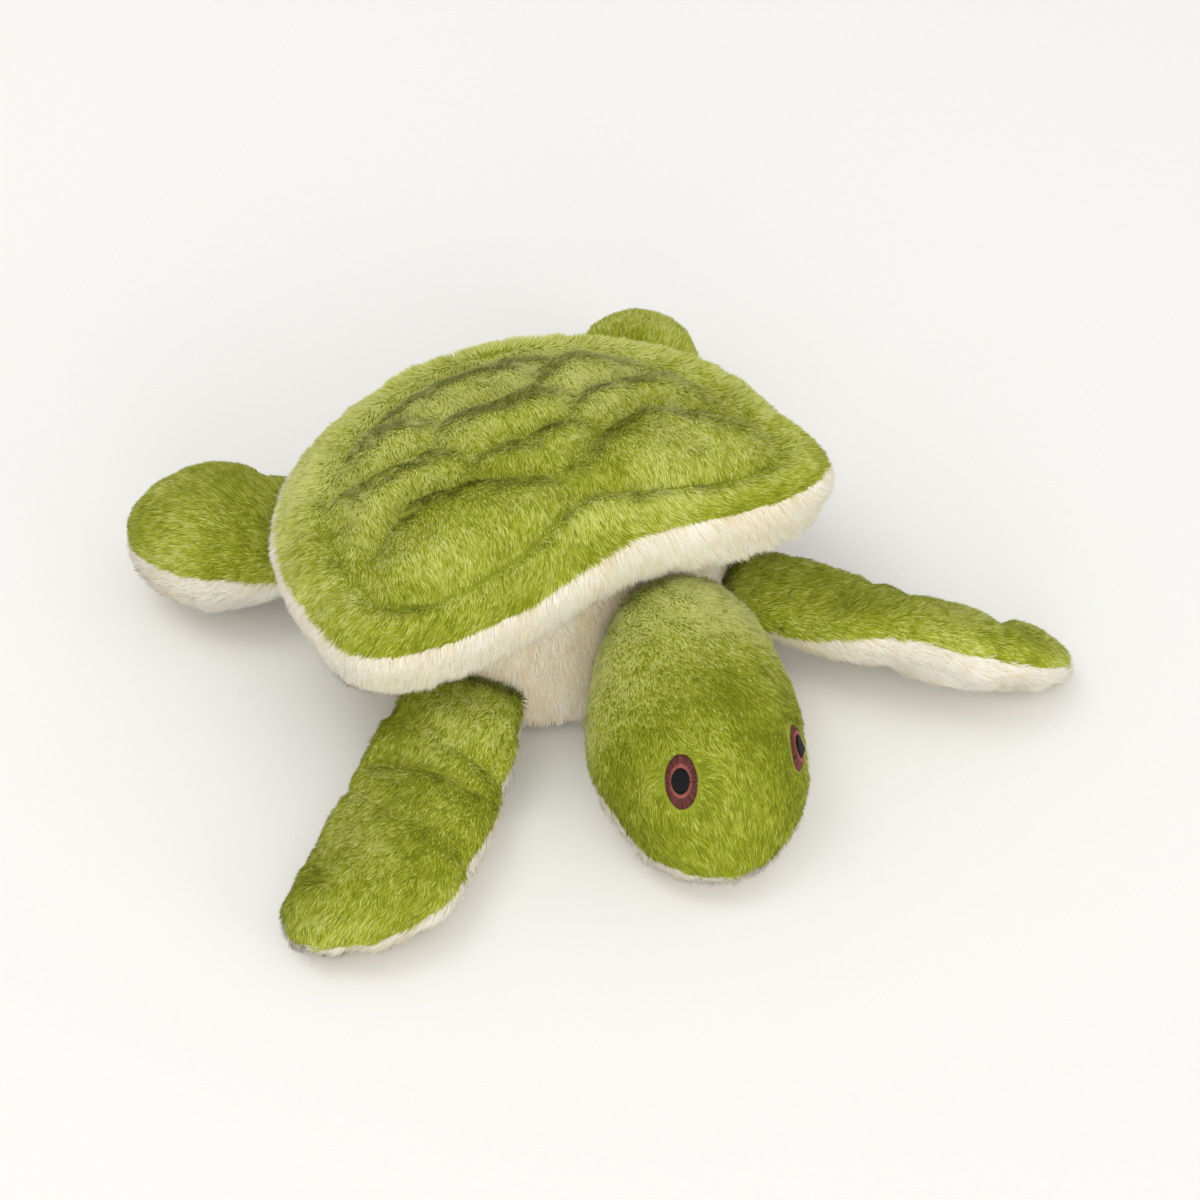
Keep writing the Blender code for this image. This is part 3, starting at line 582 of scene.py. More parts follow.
flippers = {
    "frontRight": {
        "joint": "front_right_flap", "nodes": "front_right_flipper", "lead": 1, "roll": math.radians(9),
        "length": 0.139, "root": 0.026, "halfWidth": 0.035, "halfThick": 0.0165, "slant": 0.012, "sweep": 0.003,
        "round": 0.80, "widths": (0.89, 0.95, 1.0, 1.02, 1.03, 1.02, 1.0, 0.96),
        "thicks": (0.66, 0.86, 0.98, 1.0, 1.0, 0.98, 0.94, 0.90), "creases": ((0.20, 0.0020), (0.52, 0.0015)),
    },
    "frontLeft": {
        "joint": "front_left_flap", "nodes": "front_left_flipper", "lead": -1, "roll": math.radians(40),
        "length": 0.141, "root": 0.022, "halfWidth": 0.035, "halfThick": 0.0165, "slant": 0.012, "sweep": 0.007,
        "round": 0.80, "widths": (0.72, 0.83, 0.93, 1.0, 1.03, 1.04, 1.03, 0.98),
        "thicks": (0.60, 0.76, 0.92, 1.0, 1.0, 1.0, 0.96, 0.92), "creases": ((0.42, 0.0014), (0.80, 0.0016)),
    },
    "rearRight": {
        "joint": "rear_right_flap", "nodes": "rear_right_flipper", "lead": 1, "roll": math.radians(14),
        "length": 0.092, "root": 0.028, "halfWidth": 0.041, "halfThick": 0.0285,
    } | rearSections,
    "rearLeft": {
        "joint": "rear_left_flap", "nodes": "rear_left_flipper", "lead": -1, "roll": math.radians(2),
        "length": 0.081, "root": 0.024, "halfWidth": 0.031, "halfThick": 0.022,
    } | rearSections,
}


for flipper in flippers.values():
    flipper["place"], flipper["axes"] = jointFrame(flipper["joint"])


def limbTwist(flipper, along):
    start, end = limb["twist"]
    return flipper["roll"] * smoothStep((along - start) / (end - start))


def limbMiddle(flipper, along):
    # the middle line climbs from the root's height to where the turned paddle just touches the floor
    roll = flipper["roll"]
    fattest = math.hypot(flipper["halfWidth"] * math.sin(roll), flipper["halfThick"] * math.cos(roll))
    return smoothStep(along / limb["settle"]) * (fattest - limb["sink"] - root["height"])


def limbForm(flipper):
    # sections of a paddle along the limb from its rolled root, in the limb's own frame, then put in place
    length, inset, stations, turns = flipper["length"], limb["inset"], limb["stations"], np.radians(root["angles"])
    ending = np.sqrt(1 - np.clip((stations - flipper["round"]) / (1 - flipper["round"]), 0, 1) ** 2)
    outAt = np.hstack((-root["radius"] * math.cos(root["flat"]), -root["radius"] * np.cos(turns),
                       length * stations, length))
    wideAt = np.hstack((0, flipper["root"] * np.array(root["widths"]),
                        flipper["halfWidth"] * np.array(flipper["widths"]) * ending, 0))
    thickAt = np.hstack((0, root["radius"] * np.sin(turns),
                         flipper["halfThick"] * np.array(flipper["thicks"]) * ending, 0))

    def form(share, angle):
        station = share * (len(outAt) - 1)
        out, wide, thick = [np.interp(station, np.arange(len(outAt)), values) for values in (outAt, wideAt, thickAt)]
        along = out / length
        inward = limb["rootInset"] + (inset - limb["rootInset"]) * smoothStep(along / limb["insetRun"])
        wide, thick = [np.where(size > 0, np.maximum(size - inward, limb["least"]), 0) for size in (wide, thick)]
        out = np.clip(out, outAt[0], length - inset)
        slant = flipper["slant"] * smoothStep((along - limb["slantStart"]) / (1 - limb["slantStart"]))
        side = wide * signedPower(np.cos(angle), 2 / limb["power"])
        rise = thick * signedPower(np.sin(angle), 2 / limb["power"])
        side = side - flipper["sweep"] * slant / flipper["slant"]
        out = out - slant * side / flipper["halfWidth"]
        across, up = turned(side, rise, limbTwist(flipper, along))
        local = columns(out, flipper["lead"] * across, limbMiddle(flipper, along) + up)
        x, y, z = (flipper["place"] + local @ flipper["axes"]).T
        return x, y, np.maximum(z, limb["bottom"])

    return form


def limbLocal(flipper, points):
    # share of the length, then sideways and rise with the twist taken out
    local = (points - flipper["place"]) @ flipper["axes"].T
    along = np.clip(local[:, 0] / flipper["length"], 0, 1)
    up = local[:, 2] - limbMiddle(flipper, along)
    return along, *turned(local[:, 1] * flipper["lead"], up, -limbTwist(flipper, along))


def creaseDepths(flipper, points):
    # depth of the folds across a limb, each a valley at its place along it
    along, side, _ = limbLocal(flipper, points)
    total = np.zeros(len(points))
    for place, depth in flipper["creases"]:
        off = (along - place - limb["creaseSlant"] * side / flipper["halfWidth"]) * flipper["length"]
        total += depth * bell(off, limb["creaseWidth"])
    return total


limbCovers, limbPins = {}, {}
for name, flipper in flippers.items():
    cover = coverForm(name + "Flipper", limbForm(flipper), limb)
    points = pointsOf(cover.data)
    along, _, rise = limbLocal(flipper, points)
    held = np.maximum(limb["seam"] * bell(rise, limb["seamHold"]), points[:, 2] < limb["heldBelow"])
    limbCovers[name], limbPins[name] = cover, np.maximum(held, along < limb["heldShare"])


# stuffing the covers

stuffing = {
    "frames": 20, "holdSteps": 10,
    "cloth": {"quality": 6, "mass": 0.3, "tension_stiffness": 12, "compression_stiffness": 12,
              "bending_stiffness": 0.6, "use_pressure": True, "uniform_pressure_force": 4.0,
              "shrink_min": -0.03, "vertex_group_mass": "seams", "pin_stiffness": 1.0},
}


def readyCloth(piece, pinWeights):
    # a stuffed cover: air pressure in it, a little more cloth than its form needs, and its seams held
    group = piece.vertex_groups.new(name="seams")
    steps = stuffing["holdSteps"]
    for step in range(1, steps + 1):
        held = np.flatnonzero(np.round(pinWeights * steps) == step)
        if len(held):
            group.add(held.tolist(), step / steps, "REPLACE")
    cloth = piece.modifiers.new("stuffed", "CLOTH")
    for key, value in stuffing["cloth"].items():
        setattr(cloth.settings, key, value)
    cloth.settings.effector_weights.gravity = 0
    cloth.point_cache.frame_start = 1
    cloth.point_cache.frame_end = stuffing["frames"]


def swell(pieces, caps):
    # every cover swells at once, and no point goes further than its piece's cap
    before = [pointsOf(piece.data) for piece in pieces]
    scene = bpy.context.scene
    scene.frame_start, scene.frame_end = 1, stuffing["frames"]
    for number in range(1, stuffing["frames"] + 1):
        scene.frame_set(number)
    for piece, start, cap in zip(pieces, before, caps):
        modified(piece)
        moved = pointsOf(piece.data) - start
        moved = np.where(np.isfinite(moved), moved, 0)
        length = np.linalg.norm(moved, axis=1, keepdims=True)
        movePoints(piece.data, start + moved * np.minimum(1, cap / np.maximum(length, 1e-9)))
    scene.frame_set(1)


covers = [shellCushion, bodyCover, neckCover, headCover, *limbCovers.values()]
allPins = [shellPins, bodyPins, neckPins, headPins, *limbPins.values()]
for cover, pins in zip(covers, allPins):
    readyCloth(cover, np.clip(pins, 0, 1))
swell(covers, [shell["cap"], body["cap"], neck["cap"], head["cap"], *([limb["cap"]] * len(limbCovers))])
print("covers stuffed")
for cover in covers:
    finer = cover.modifiers.new("finer", "SUBSURF")
    finer.levels = finer.render_levels = 1
    modified(cover)


def creased(piece, depths, bottom=0.003):
    # sewn and folded lines drawn in along the surface's own normals, and the cover kept above the floor
    moved = pointsOf(piece.data) - threesOf(piece.data.vertices, "normal") * depths[:, None]
    moved[:, 2] = np.maximum(moved[:, 2], bottom)
    movePoints(piece.data, moved)


points = pointsOf(shellCushion.data)
above = points[:, 2] > shellSeamHeight(points) + shellHold["creaseFrom"]
creased(shellCushion, np.where(above, shell["creaseDepth"] * bell(shellPlace(points)[3], shell["creaseWidth"]), 0))
for name, flipper in flippers.items():
    points = pointsOf(limbCovers[name].data)
    onTop = limbLocal(flipper, points)[2] > -limb["creaseDrop"]
    creased(limbCovers[name], creaseDepths(flipper, points) * onTop)
for cover in (bodyCover, neckCover, headCover):
    creased(cover, np.zeros(len(cover.data.vertices)))
print("creases drawn in")


# pile

pile = {
    "toneBins": 96, "clump": 0.0045, "turn": 0.7, "turnWander": 0.14,
    "lift": 0.32, "liftClump": 0.3, "liftScale": 1.3, "liftWander": 0.08, "rootDepth": 0.0006, "floor": 0.0002,
    "lengthClump": 0.006, "lengths": (0.9, 0.2), "lengthWander": 0.08, "shortest": 0.0015, "longest": 0.012,
    "broadSize": 0.020, "broadTone": 0.55, "fineSize": 0.0026, "fineTone": 0.45, "toneWander": 0.26,
    "density": 1.0,
}
greenPileSettings = {"density": 2.8, "length": 0.0047, "width": 0.00085}
creamPileSettings = {"density": 2.2, "length": 0.0054, "width": 0.00085}


def plantedRoots(piece, perSquareMillimetre, keep, seed):
    # evenly by area: one root for each equal step along the summed triangle areas, anywhere in its triangle
    rng = np.random.default_rng(seed)
    points, normals, triangles = pointsOf(piece.data), threesOf(piece.data.vertices, "normal"), trianglesOf(piece.data)
    triangles = triangles[keep(points[triangles].mean(axis=1))]
    corners = points[triangles]
    areas = np.linalg.norm(np.cross(corners[:, 1] - corners[:, 0], corners[:, 2] - corners[:, 0]), axis=1) / 2
    count = int(areas.sum() * 1e6 * perSquareMillimetre * pile["density"])
    marks = (np.arange(count) + rng.random(count)) / count * areas.sum()
    chosen = np.searchsorted(np.cumsum(areas), marks).clip(0, len(areas) - 1)
    a, b = rng.random(count), rng.random(count)
    over = a + b > 1
    a, b = np.where(over, 1 - a, a), np.where(over, 1 - b, b)
    weights = columns(1 - a - b, a, b)[:, :, None]
    return (corners[chosen] * weights).sum(axis=1), unit((normals[triangles[chosen]] * weights).sum(axis=1))


def strands(name, roots, normals, naps, lengths, tones, width, material, seed):
    # each strand is a thin closed spike: three root points in a ring and one tip, leaning along the nap
    rng = np.random.default_rng(seed + 1)
    count = len(roots)
    flow = unit(naps - normals * (naps * normals).sum(axis=1, keepdims=True))
    turn = pile["turn"] * (softNoise(roots, pile["clump"], seed) - 0.5) + pile["turnWander"] * rng.normal(size=count)
    clumps = softNoise(roots, pile["clump"] * pile["liftScale"], seed + 5) - 0.5
    lift = pile["lift"] + pile["liftClump"] * clumps + pile["liftWander"] * rng.normal(size=count)
    flat = flow * np.cos(turn)[:, None] + np.cross(normals, flow) * np.sin(turn)[:, None]
    towards = unit(flat * np.cos(lift)[:, None] + normals * np.sin(lift)[:, None])
    side = unit(np.cross(normals, towards))
    other = np.cross(towards, side)
    start = rng.random(count) * 2 * math.pi
    ring = [
        roots - normals * pile["rootDepth"]
        + width / 2 * (np.cos(start + corner)[:, None] * side + np.sin(start + corner)[:, None] * other)
        for corner in (0, 2 * math.pi / 3, 4 * math.pi / 3)
    ]
    points = np.stack([*ring, roots + towards * lengths[:, None]], axis=1).reshape(-1, 3)
    points[:, 2] = np.maximum(points[:, 2], pile["floor"])
    base = 4 * np.arange(count)[:, None, None]
    faces = (base + np.array([(0, 1, 3), (1, 2, 3), (2, 0, 3), (0, 2, 1)])).reshape(-1, 3)
    mesh = bpy.data.meshes.new(name)
    mesh.vertices.add(4 * count)
    mesh.vertices.foreach_set("co", points.ravel())
    mesh.loops.add(12 * count)
    mesh.loops.foreach_set("vertex_index", faces.ravel().astype(np.int32))
    mesh.polygons.add(4 * count)
    mesh.polygons.foreach_set("loop_start", (3 * np.arange(4 * count)).astype(np.int32))
    mesh.update(calc_edges=True)
    # tones are rounded to bins, so that a baked picture has room for each
    bins = np.floor(np.clip(tones, 0, 0.9999) * pile["toneBins"])
    u = (bins[:, None] + np.array([0.15, 0.5, 0.85, 0.5])) / pile["toneBins"]
    writeMap(mesh, u, np.broadcast_to([0.02, 0.02, 0.02, 0.98], u.shape))
    mesh.shade_smooth()
    # normals between the strand's own and the cover's, so that the pile shades softly
    outwards = [unit(unit(part - roots) * 0.5 + normals * 0.8) for part in ring]
    soft = np.stack([*outwards, unit(normals + towards * 0.4)], axis=1).reshape(-1, 3)
    mesh.normals_split_custom_set_from_vertices(soft.tolist())
    mesh.materials.append(material)
    made = placed(name, mesh)
    made.visible_shadow = False  # fibres let light through, so only the covers under them cast shadows
    return made


def evenTone(roots):
    return 0.0


def evenLength(roots):
    return 1.0


def plush(name, cover, keep, nap, settings, material, seed, tone=evenTone, shorten=evenLength):
    # plants one cover's pile: tone and length vary in broad patches, in clumps and from strand to strand
    roots, normals = plantedRoots(cover, settings["density"], keep, seed)
    keepRoots = keep(roots)
    roots, normals = roots[keepRoots], normals[keepRoots]
    rng = np.random.default_rng(seed + 2)
    broad, fine = softNoise(roots, pile["broadSize"], 7) - 0.5, softNoise(roots, pile["fineSize"], 17) - 0.5
    tones = 0.5 + pile["broadTone"] * broad + pile["fineTone"] * fine
    tones = tones + pile["toneWander"] * rng.normal(size=len(roots)) + tone(roots)
    least, spread = pile["lengths"]
    lengths = least + spread * softNoise(roots, pile["lengthClump"], seed + 4)
    lengths = settings["length"] * (lengths + pile["lengthWander"] * rng.normal(size=len(roots))) * shorten(roots)
    made = strands(name, roots, normals, nap(roots, normals), np.clip(lengths, pile["shortest"], pile["longest"]),
                   tones, settings["width"], material, seed)
    print(name, len(roots), "strands")
    return made


# the shell's pile

# the shell pile's tones put painted shade along the stitches and down the rim's front, and painted light on the
# scutes, the rim's crest and at the back
shellPile = {
    "brushed": (-0.25, -1.0, 0.0), "outwardFrom": 0.70, "outwardRun": 0.25, "topFrom": 0.0015, "hemFrom": 0.70,
    "linePaintedShade": -0.06, "lineWidth": 0.0035, "scutePaintedLight": 0.06, "scuteWidth": 0.018,
    "crestPaintedLight": 0.12, "crestEdge": 0.019, "crestWidth": 0.005, "seamPaintedShade": -0.28, "seamWidth": 0.017,
    "frontY": 0.03, "frontRun": 0.06, "tone": 0.06, "rearPaintedLight": 0.50, "rearY": 0.08,
    "lineShort": 0.25, "shortWidth": 0.003, "hemLong": 1.1, "overHead": 0.7, "hemOut": 0.5,
}


def shellNap(roots, normals):
    # brushed forwards on top, and outwards over the rim
    angle, out, _, _ = shellPlace(roots)
    outward = columns(np.cos(angle), np.sin(angle), 0)
    rim = smoothStep((out - shellPile["outwardFrom"]) / shellPile["outwardRun"])[:, None]
    return unit(outward * rim + np.array(shellPile["brushed"]) * (1 - rim))


def shellPaintedShading(roots):
    # painted shade along the stitches and down the front of the rim, painted light towards the scutes' middles, on the
    # rim's crest and at the back
    s, (_, _, edge, nearest), y = shellPile, shellPlace(roots), roots[:, 1]
    lines = s["linePaintedShade"] * bell(nearest, s["lineWidth"]) + s["scutePaintedLight"] * smoothStep(nearest / s["scuteWidth"])
    front = smoothStep((s["frontY"] - y) / s["frontRun"])
    # painted highlight along the rim's crest and painted shade down the rim to the seam, only at the front
    crest = s["crestPaintedLight"] * bell(edge - s["crestEdge"], s["crestWidth"])
    rim = crest + s["seamPaintedShade"] * (1 - smoothStep(edge / s["seamWidth"]))
    # painted light at the back
    return lines + front * rim + s["tone"] + s["rearPaintedLight"] * smoothStep(y / s["rearY"])


def shellShorten(roots):
    return 1 - shellPile["lineShort"] * bell(shellPlace(roots)[3], shellPile["shortWidth"])


def hemNap(roots, normals):
    angle = shellPlace(roots)[0]
    return columns(shellPile["hemOut"] * np.cos(angle), shellPile["hemOut"] * np.sin(angle), -1.0)


def hemShorten(roots):
    return shellPile["hemLong"] + shellPile["overHead"] * frontArch(shellPlace(roots)[0])  # longest over the head


def shellPart(spots):
    # 0 and 1 are the right and left of the scutes, 2 the rim round them, 3 and 4 the hem's right and left
    _, out, edge, _ = shellPlace(spots)
    left = spots[:, 0] > shell["middle"][0]
    top = np.where(edge < shell["rimBand"], 2, left)
    under = np.where(out > shellPile["hemFrom"], 3 + left, 5)
    return np.where(spots[:, 2] > shellSeamHeight(spots) + shellPile["topFrom"], top, under)


shellPiles = []
greenLook = (shellNap, greenPileSettings, greenPile)
creamLook = (hemNap, creamPileSettings, creamPile)
for number, name in enumerate(("shellRightPile", "shellLeftPile", "shellRimPile", "hemRightPile", "hemLeftPile")):
    look, manner = (greenLook, (shellPaintedShading, shellShorten)) if number < 3 else (creamLook, (evenTone, hemShorten))
    shellPiles.append(plush(name, shellCushion, lambda spots: shellPart(spots) == number, *look, 11 + number, *manner))


# the pile of body and neck

def bodyNap(roots, normals):
    away = roots - np.array([*body["middle"], body["middleHeight"]])
    return columns(away[:, 0], away[:, 1], -body["droop"])


def bodySide(spots):
    # neither the belly, pressed flat on the floor, nor the lid under the shell has pile
    return (spots[:, 2] < bodyLid(spots[:, 0], spots[:, 1]) - body["lidGap"]) & (spots[:, 2] > body["barePart"])


bodyPile = plush("bodyPile", bodyCover, bodySide, bodyNap, creamPileSettings | {"density": body["density"]}, creamPile,
                 21, lambda roots: body["tone"])  # a darker, warmer cream than the hem
neckPile = plush("neckPile", neckCover, lambda spots: spots[:, 2] > 0,
                 lambda roots, normals: np.broadcast_to(headAxes[0], roots.shape),
                 creamPileSettings | {"length": neck["pileLength"]}, creamPile, 31)


# the head's pile, which leaves the eyes free

eyes = {
    "sides": {1: {"station": 0.64, "angle": math.radians(34), "turn": 0.0},
              -1: {"station": 0.67, "angle": math.radians(122), "turn": math.radians(24)}},
    "halfWidth": 0.0074, "halfHeight": 0.0115, "proud": 0.0004, "bulge": 0.0024, "depth": 0.02,
    "clear": 0.96, "part": 0.016, "partPull": 1.4, "short": 0.45, "shortWidth": 0.35, "underlay": 0.003,
    "pupilWidth": 0.0037, "pupilHeight": 0.0053,
}


def eyeFrame(side):
    # spot on the head, then the directions across the eye, along the head and outwards; side 1 is the left
    station, angle, turn = [eyes["sides"][side][key] for key in ("station", "angle", "turn")]
    share = np.array([station, station + 1e-3, station])
    around = np.array([angle, angle, angle + 1e-3])
    spot, ahead, beside = np.stack(headForm(share, around, 0), axis=1)
    along = unit(ahead - spot)
    outward = unit(np.cross(along, beside - spot))
    outward = outward if outward[2] > 0 else -outward
    along = along * math.cos(turn) + np.cross(along, outward) * math.sin(turn)
    return spot, np.cross(along, outward), along, outward


def eyeClearing(spots):
    # distance out from the nearer eye's middle, where 1 is its edge
    nearest = np.full(len(spots), 9.0)
    for side in eyes["sides"]:
        spot, across, along, outward = eyeFrame(side)
        off = spots - spot
        far = np.hypot(off @ across / eyes["halfWidth"], off @ along / eyes["halfHeight"])
        nearest = np.where(np.abs(off @ outward) < eyes["depth"], np.minimum(nearest, far), nearest)
    return nearest


def headNap(roots, normals):
    # brushed from the neck to the snout, and parted a little round the eyes
    flow = np.broadcast_to(headAxes[0] - head["napTurn"] * headAxes[1], roots.shape).copy()
    for side in eyes["sides"]:
        off = roots - eyeFrame(side)[0]
        near = np.exp(-((np.linalg.norm(off, axis=1) / eyes["part"]) ** 4))[:, None]
        flow = flow + near * unit(off) * eyes["partPull"]
    return flow


def eyeShorten(roots):
    return 1 - eyes["short"] * bell(eyeClearing(roots) - 1, eyes["shortWidth"])


def headPaintedLight(roots):
    # painted light at the nape, passing into painted shade towards the snout
    forward = smoothStep((headLocal(roots)[0] - head["toneStart"]) / head["toneRun"])
    return head["napePaintedLight"] - (head["napePaintedLight"] - head["snoutPaintedShade"]) * forward


headPile = plush(
    "headPile", headCover, lambda spots: (overSeam(spots) > 0) & (eyeClearing(spots) > eyes["clear"]), headNap,
    greenPileSettings | {"density": head["density"]}, greenPile, 41, headPaintedLight, eyeShorten)
chinPile = plush("chinPile", headCover, lambda spots: overSeam(spots) <= 0, headNap, creamPileSettings, creamPile, 42)


# the flippers' pile, green above the seam and longer cream below it; the green is painted darker in the folds, as
# painted shade

limbPiles = {}
for number, (name, flipper) in enumerate(flippers.items()):
    def limbNap(roots, normals):
        return np.broadcast_to(flipper["axes"][0], roots.shape)

    limbPiles[name] = (
        plush(name + "Pile", limbCovers[name], lambda spots: limbLocal(flipper, spots)[2] > 0, limbNap,
              greenPileSettings, greenPile, 50 + number,
              lambda roots: -limb["creaseShade"] * creaseDepths(flipper, roots)),
        plush(name + "UnderPile", limbCovers[name], lambda spots: limbLocal(flipper, spots)[2] <= 0, limbNap,
              creamPileSettings | limb["underPile"], creamPile, 60 + number),
    )
print("pile planted")


# eyes

def threadPiece(name, starts, ends, arch, tones, width, material):
    # each thread is a closed six sided rope of five rings, arched over the eye from its start to its end
    around, rings = 6, 5
    along = unit(ends - starts)
    side = unit(np.cross(along, arch))
    up = np.cross(side, along)
    share = np.repeat(np.linspace(0, 1, rings), around)[:, None, None]
    turn = np.tile(np.arange(around) * math.pi / 3, rings)[:, None, None]
    radius = width / 2 * np.where(share % 1 == 0, 0.55, 1.0)
    rise = np.linalg.norm(arch, axis=1)[:, None] * 4 * share * (1 - share)
    rows = starts + (ends - starts) * share + up * rise + radius * (np.cos(turn) * side + np.sin(turn) * up)
    points = np.concatenate([[starts - along * width * 0.2], rows, [ends + along * width * 0.2]])
    size, one = len(points), ballFaces(around, rings)
    faces = [[size * number + corner for corner in face] for number in range(len(starts)) for face in one]
    piece = meshPiece(name, points.transpose(1, 0, 2).reshape(-1, 3), faces)
    place = np.arange(size) - 1
    spread = place % around / around * 0.006
    u = np.clip(tones, 0.01, 0.98)[:, None] + spread
    writeMap(piece.data, u, np.broadcast_to(0.05 + 0.2 * np.clip(place // around, 0, rings - 1) + spread, u.shape))
    piece.data.materials.append(material)
    return piece


# layers of stitches: where threads start and end out from the eye's middle, their heights there, their arch,
# tones and width; a pair of numbers is the least and the spread, but for lifts the start's and the end's
stitches = {
    "Ring": {"count": 150, "sway": 0.01, "inner": (0.42, 0.05), "outer": (0.96, 0.04), "lifts": (0.0002, 0.0001),
             "arch": 0.0007, "tones": (0.04, 0.20), "width": 0.00042},
    "Glint": {"count": 90, "inner": 0.47, "outer": (0.60, 0.06), "lifts": (0.00045, 0.0006),
              "arch": 0.0003, "tones": (0.45, 0.25), "width": 0.00034},
    "Pupil": {"count": 22, "reach": (0.96, 0.05), "lift": 0.0007,
              "arch": 0.0009, "tones": (0.05, 0.25), "width": 0.00046},
}
eyePieces = []
for side, label in ((1, "Left"), (-1, "Right")):
    spot, across, along, outward = eyeFrame(side)
    rng = np.random.default_rng(70 + side)

    def onEye(radius, turn, extra):
        # a low dome over the eye's oval, radius 1 at its edge
        rise = eyes["proud"] - eyes["bulge"] + eyes["bulge"] * np.sqrt(np.clip(1 - radius ** 2, 0, 1)) + extra
        return (spot + np.multiply.outer(radius * np.cos(turn) * eyes["halfWidth"], across)
                + np.multiply.outer(radius * np.sin(turn) * eyes["halfHeight"], along)
                + np.multiply.outer(rise, outward))

    def domeForm(share, turn):
        depth = np.where(share < 0.5, 0.0, -eyes["underlay"])
        return onEye(np.clip(np.sin(math.pi * share), 0, 0.999), turn, depth).T

    def drawn(layer, *keys):
        stitch = stitches[layer]
        return [stitch[key][0] + stitch[key][1] * rng.random(stitch["count"]) for key in keys]

    def stitched(layer, starts, ends, tones, material):
        arch = np.broadcast_to(outward, starts.shape) * stitches[layer]["arch"]
        return threadPiece(f"eye{label}{layer}", starts, ends, arch, tones, stitches[layer]["width"], material)

    def radial(layer, turn, inner, outer, tones):
        first, last = stitches[layer]["lifts"]
        return stitched(layer, onEye(inner, turn, first), onEye(outer, turn, last), tones, maroonThread)

    underlay = ballForm(f"eye{label}Underlay", domeForm, 40, 15)
    underlay.data.materials.append(eyeFelt)
    count = stitches["Ring"]["count"]
    turn = np.arange(count) / count * 2 * math.pi + rng.normal(size=count) * stitches["Ring"]["sway"]
    ring = radial("Ring", turn, *drawn("Ring", "inner", "outer", "tones"))
    count = stitches["Glint"]["count"]
    turn, inner = np.arange(count) / count * 2 * math.pi, np.full(count, stitches["Glint"]["inner"])
    tones, outer = drawn("Glint", "tones", "outer")
    glint = radial("Glint", turn, inner, outer, tones)
    row = (np.arange(stitches["Pupil"]["count"]) + 0.5) / stitches["Pupil"]["count"] * 2 - 1
    reach, tones = drawn("Pupil", "reach", "tones")
    x = row * (eyes["pupilWidth"] / eyes["halfWidth"])
    y = np.sqrt(1 - row ** 2) * reach * (eyes["pupilHeight"] / eyes["halfHeight"])
    ends = [onEye(np.hypot(x, y), np.arctan2(sign * y, x), stitches["Pupil"]["lift"]) for sign in (-1, 1)]
    pupil = stitched("Pupil", *ends, tones, blackThread)
    eyePieces.append((label.lower(), underlay, ring, glint, pupil))
print("eyes embroidered")


# dressing the frame

def dressed(piece, slotName, bodyName, *nodes):
    if nodes:
        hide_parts(*nodes)
    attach(piece, bodyName)


def twoFaced(piece, topSide):
    # green cloth on the upper half and cream below the seam
    mesh = piece.data
    mesh.materials.append(greenBacking)
    mesh.materials.append(creamBacking)
    middles = threesOf(mesh.polygons, "center")
    mesh.polygons.foreach_set("material_index", np.where(topSide(middles), 0, 1).astype(np.int32))
    mesh.update()


twoFaced(shellCushion, lambda spots: spots[:, 2] > shellSeamHeight(spots))
twoFaced(headCover, lambda spots: overSeam(spots) > 0)
bodyCover.data.materials.append(creamBacking)
neckCover.data.materials.append(creamBacking)

dressed(shellCushion, "green_plush", "body", "shell_cover_top", "shell_cover_under", "shell_filling")
for number, piece in enumerate(shellPiles):
    dressed(piece, "green_plush" if number < 3 else "cream_plush", "body")
dressed(bodyCover, "cream_plush", "body", "body_cover", "body_filling")
dressed(bodyPile, "cream_plush", "body")
dressed(neckCover, "cream_plush", "neck", "neck_cover", "neck_filling")
dressed(neckPile, "cream_plush", "neck")
dressed(headCover, "green_plush", "head", "head_cover_top", "head_cover_chin", "head_filling")
dressed(headPile, "green_plush", "head")
dressed(chinPile, "cream_plush", "head")
for label, underlay, ring, glint, pupil in eyePieces:
    dressed(ring, "maroon_thread", "head", f"eye_{label}_iris")
    dressed(glint, "maroon_thread", "head")
    dressed(underlay, "maroon_thread", "head")
    dressed(pupil, "black_thread", "head", f"eye_{label}_pupil")
for name, flipper in flippers.items():
    twoFaced(limbCovers[name], lambda spots: limbLocal(flipper, spots)[2] > 0)
    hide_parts(*[f"{flipper['nodes']}_{part}" for part in ("top", "under", "filling")])
    for piece, slotName in zip((limbCovers[name], *limbPiles[name]), ("green_plush", "green_plush", "cream_plush")):
        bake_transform(piece)


# floor, light and camera

studio = {
    "paper": "#F4F3EF", "floorHalf": 8.0, "floorHeight": -0.0002, "fade": (0.6, 1.6), "domeStrength": 0.83,
    "lamps": {
        "keyLamp": {"place": (-0.5, 0.45, 1.5), "aim": (0, 0, 0.05), "size": 0.9, "power": 4.2},
        "frontLamp": {"place": (-1.25, -2.35, 0.7), "aim": (0, 0, 0.04), "size": 1.6, "power": 18.0},
        "fillLamp": {"place": (1.0, -2.45, 0.7), "aim": (0, 0, 0.04), "size": 1.5, "power": 16.0},
    },
}

# matt paper, which fades into the plain colour of the backdrop away from the toy
half = studio["floorHalf"]
corners = np.array([(x * half, y * half, studio["floorHeight"]) for x, y in ((-1, -1), (1, -1), (1, 1), (-1, 1))])
floor = meshPiece("floor", corners, [[0, 1, 2, 3]])
paperColour = srgb(studio["paper"])
floorMaterial, tree, shader = newMaterial("pale studio paper", {"Base Color": paperColour, "Roughness": 0.9})
where = addNode(tree, "TexCoord")
away = addNode(tree, "VectorMath", {"operation": "LENGTH"}, links={0: where.outputs["Object"]})
fade = addNode(tree, "MapRange", {"interpolation_type": "SMOOTHSTEP"},
               {"From Min": studio["fade"][0], "From Max": studio["fade"][1]}, {"Value": away.outputs["Value"]})
far = addNode(tree, "Emission", values={"Color": paperColour, "Strength": 1.0})
mixed = addNode(tree, "MixShader", links={0: fade.outputs["Result"], 1: shader.outputs[0], 2: far.outputs[0]})
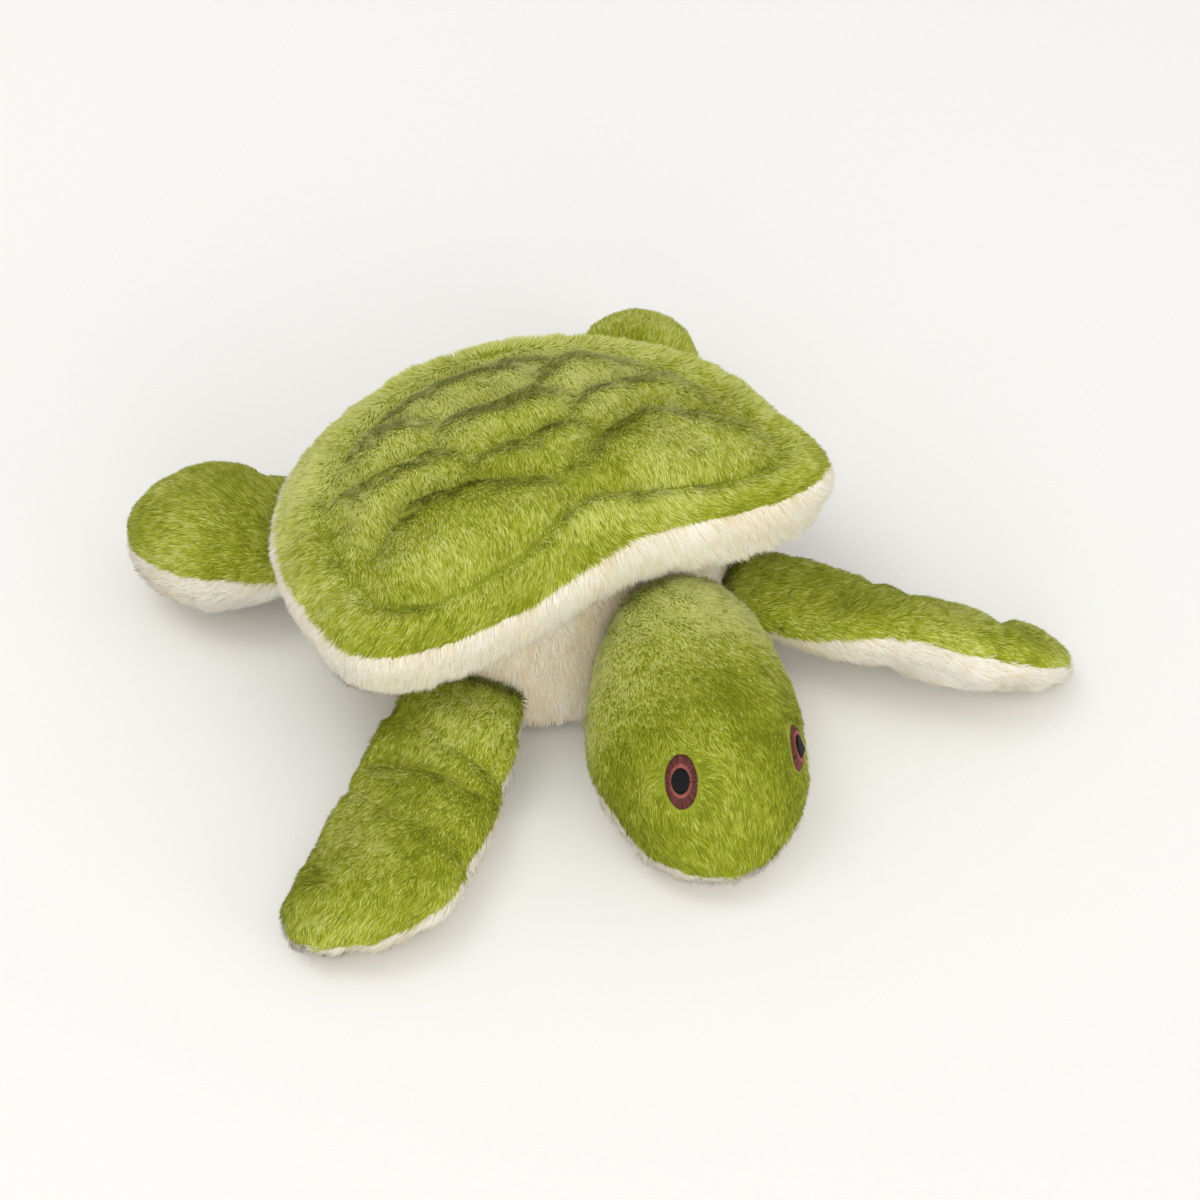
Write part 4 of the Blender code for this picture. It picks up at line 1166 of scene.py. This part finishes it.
tree.links.new(mixed.outputs[0], tree.nodes["Material Output"].inputs["Surface"])
floor.data.materials.append(floorMaterial)

# the backdrop shows the paper's colour, while a white dome lights the toy
world = bpy.data.worlds.new("studio")
bpy.context.scene.world = world
world.use_nodes = True
tree = world.node_tree
tree.nodes.clear()
ray = addNode(tree, "LightPath")
seen = ray.outputs["Is Camera Ray"]
for other in ("Is Glossy Ray", "Is Transmission Ray"):
    seen = addNode(tree, "Math", {"operation": "MAXIMUM"}, links={0: seen, 1: ray.outputs[other]}).outputs[0]
dome = addNode(tree, "Background", values={"Color": (1, 1, 1, 1), "Strength": studio["domeStrength"]})
paper = addNode(tree, "Background", values={"Color": paperColour, "Strength": 1.0})
either = addNode(tree, "MixShader", links={0: seen, 1: dome.outputs[0], 2: paper.outputs[0]})
addNode(tree, "OutputWorld", links={"Surface": either.outputs[0]})

for name, settings in studio["lamps"].items():
    lamp = bpy.data.lights.new(name, "AREA")
    lamp.shape, lamp.size, lamp.energy = "DISK", settings["size"], settings["power"]
    made = placed(name, lamp)
    made.location = settings["place"]
    beam = Vector(settings["aim"]) - Vector(settings["place"])
    made.rotation_euler = beam.to_track_quat("-Z", "Y").to_euler()

# azimuth from straight ahead of the toy, elevation over the floor, and a lens on a 36 mm sensor
camera = {"azimuth": math.radians(-30), "elevation": math.radians(45), "distance": 1.6,
          "target": (0.0037, -0.0221, 0.05), "lens": 112.8, "sensor": 36, "clipStart": 0.05}
lens = bpy.data.cameras.new("photoCamera")
lens.sensor_width, lens.lens, lens.clip_start = camera["sensor"], camera["lens"], camera["clipStart"]
eye = placed("photoCamera", lens)
flat = math.cos(camera["elevation"])
back = Vector((math.sin(camera["azimuth"]) * flat, -math.cos(camera["azimuth"]) * flat, math.sin(camera["elevation"])))
eye.location = Vector(camera["target"]) + back * camera["distance"]
eye.rotation_euler = back.to_track_quat("Z", "Y").to_euler()
bpy.context.scene.camera = eye
bpy.context.scene.view_settings.view_transform = "Standard"
print("studio set")
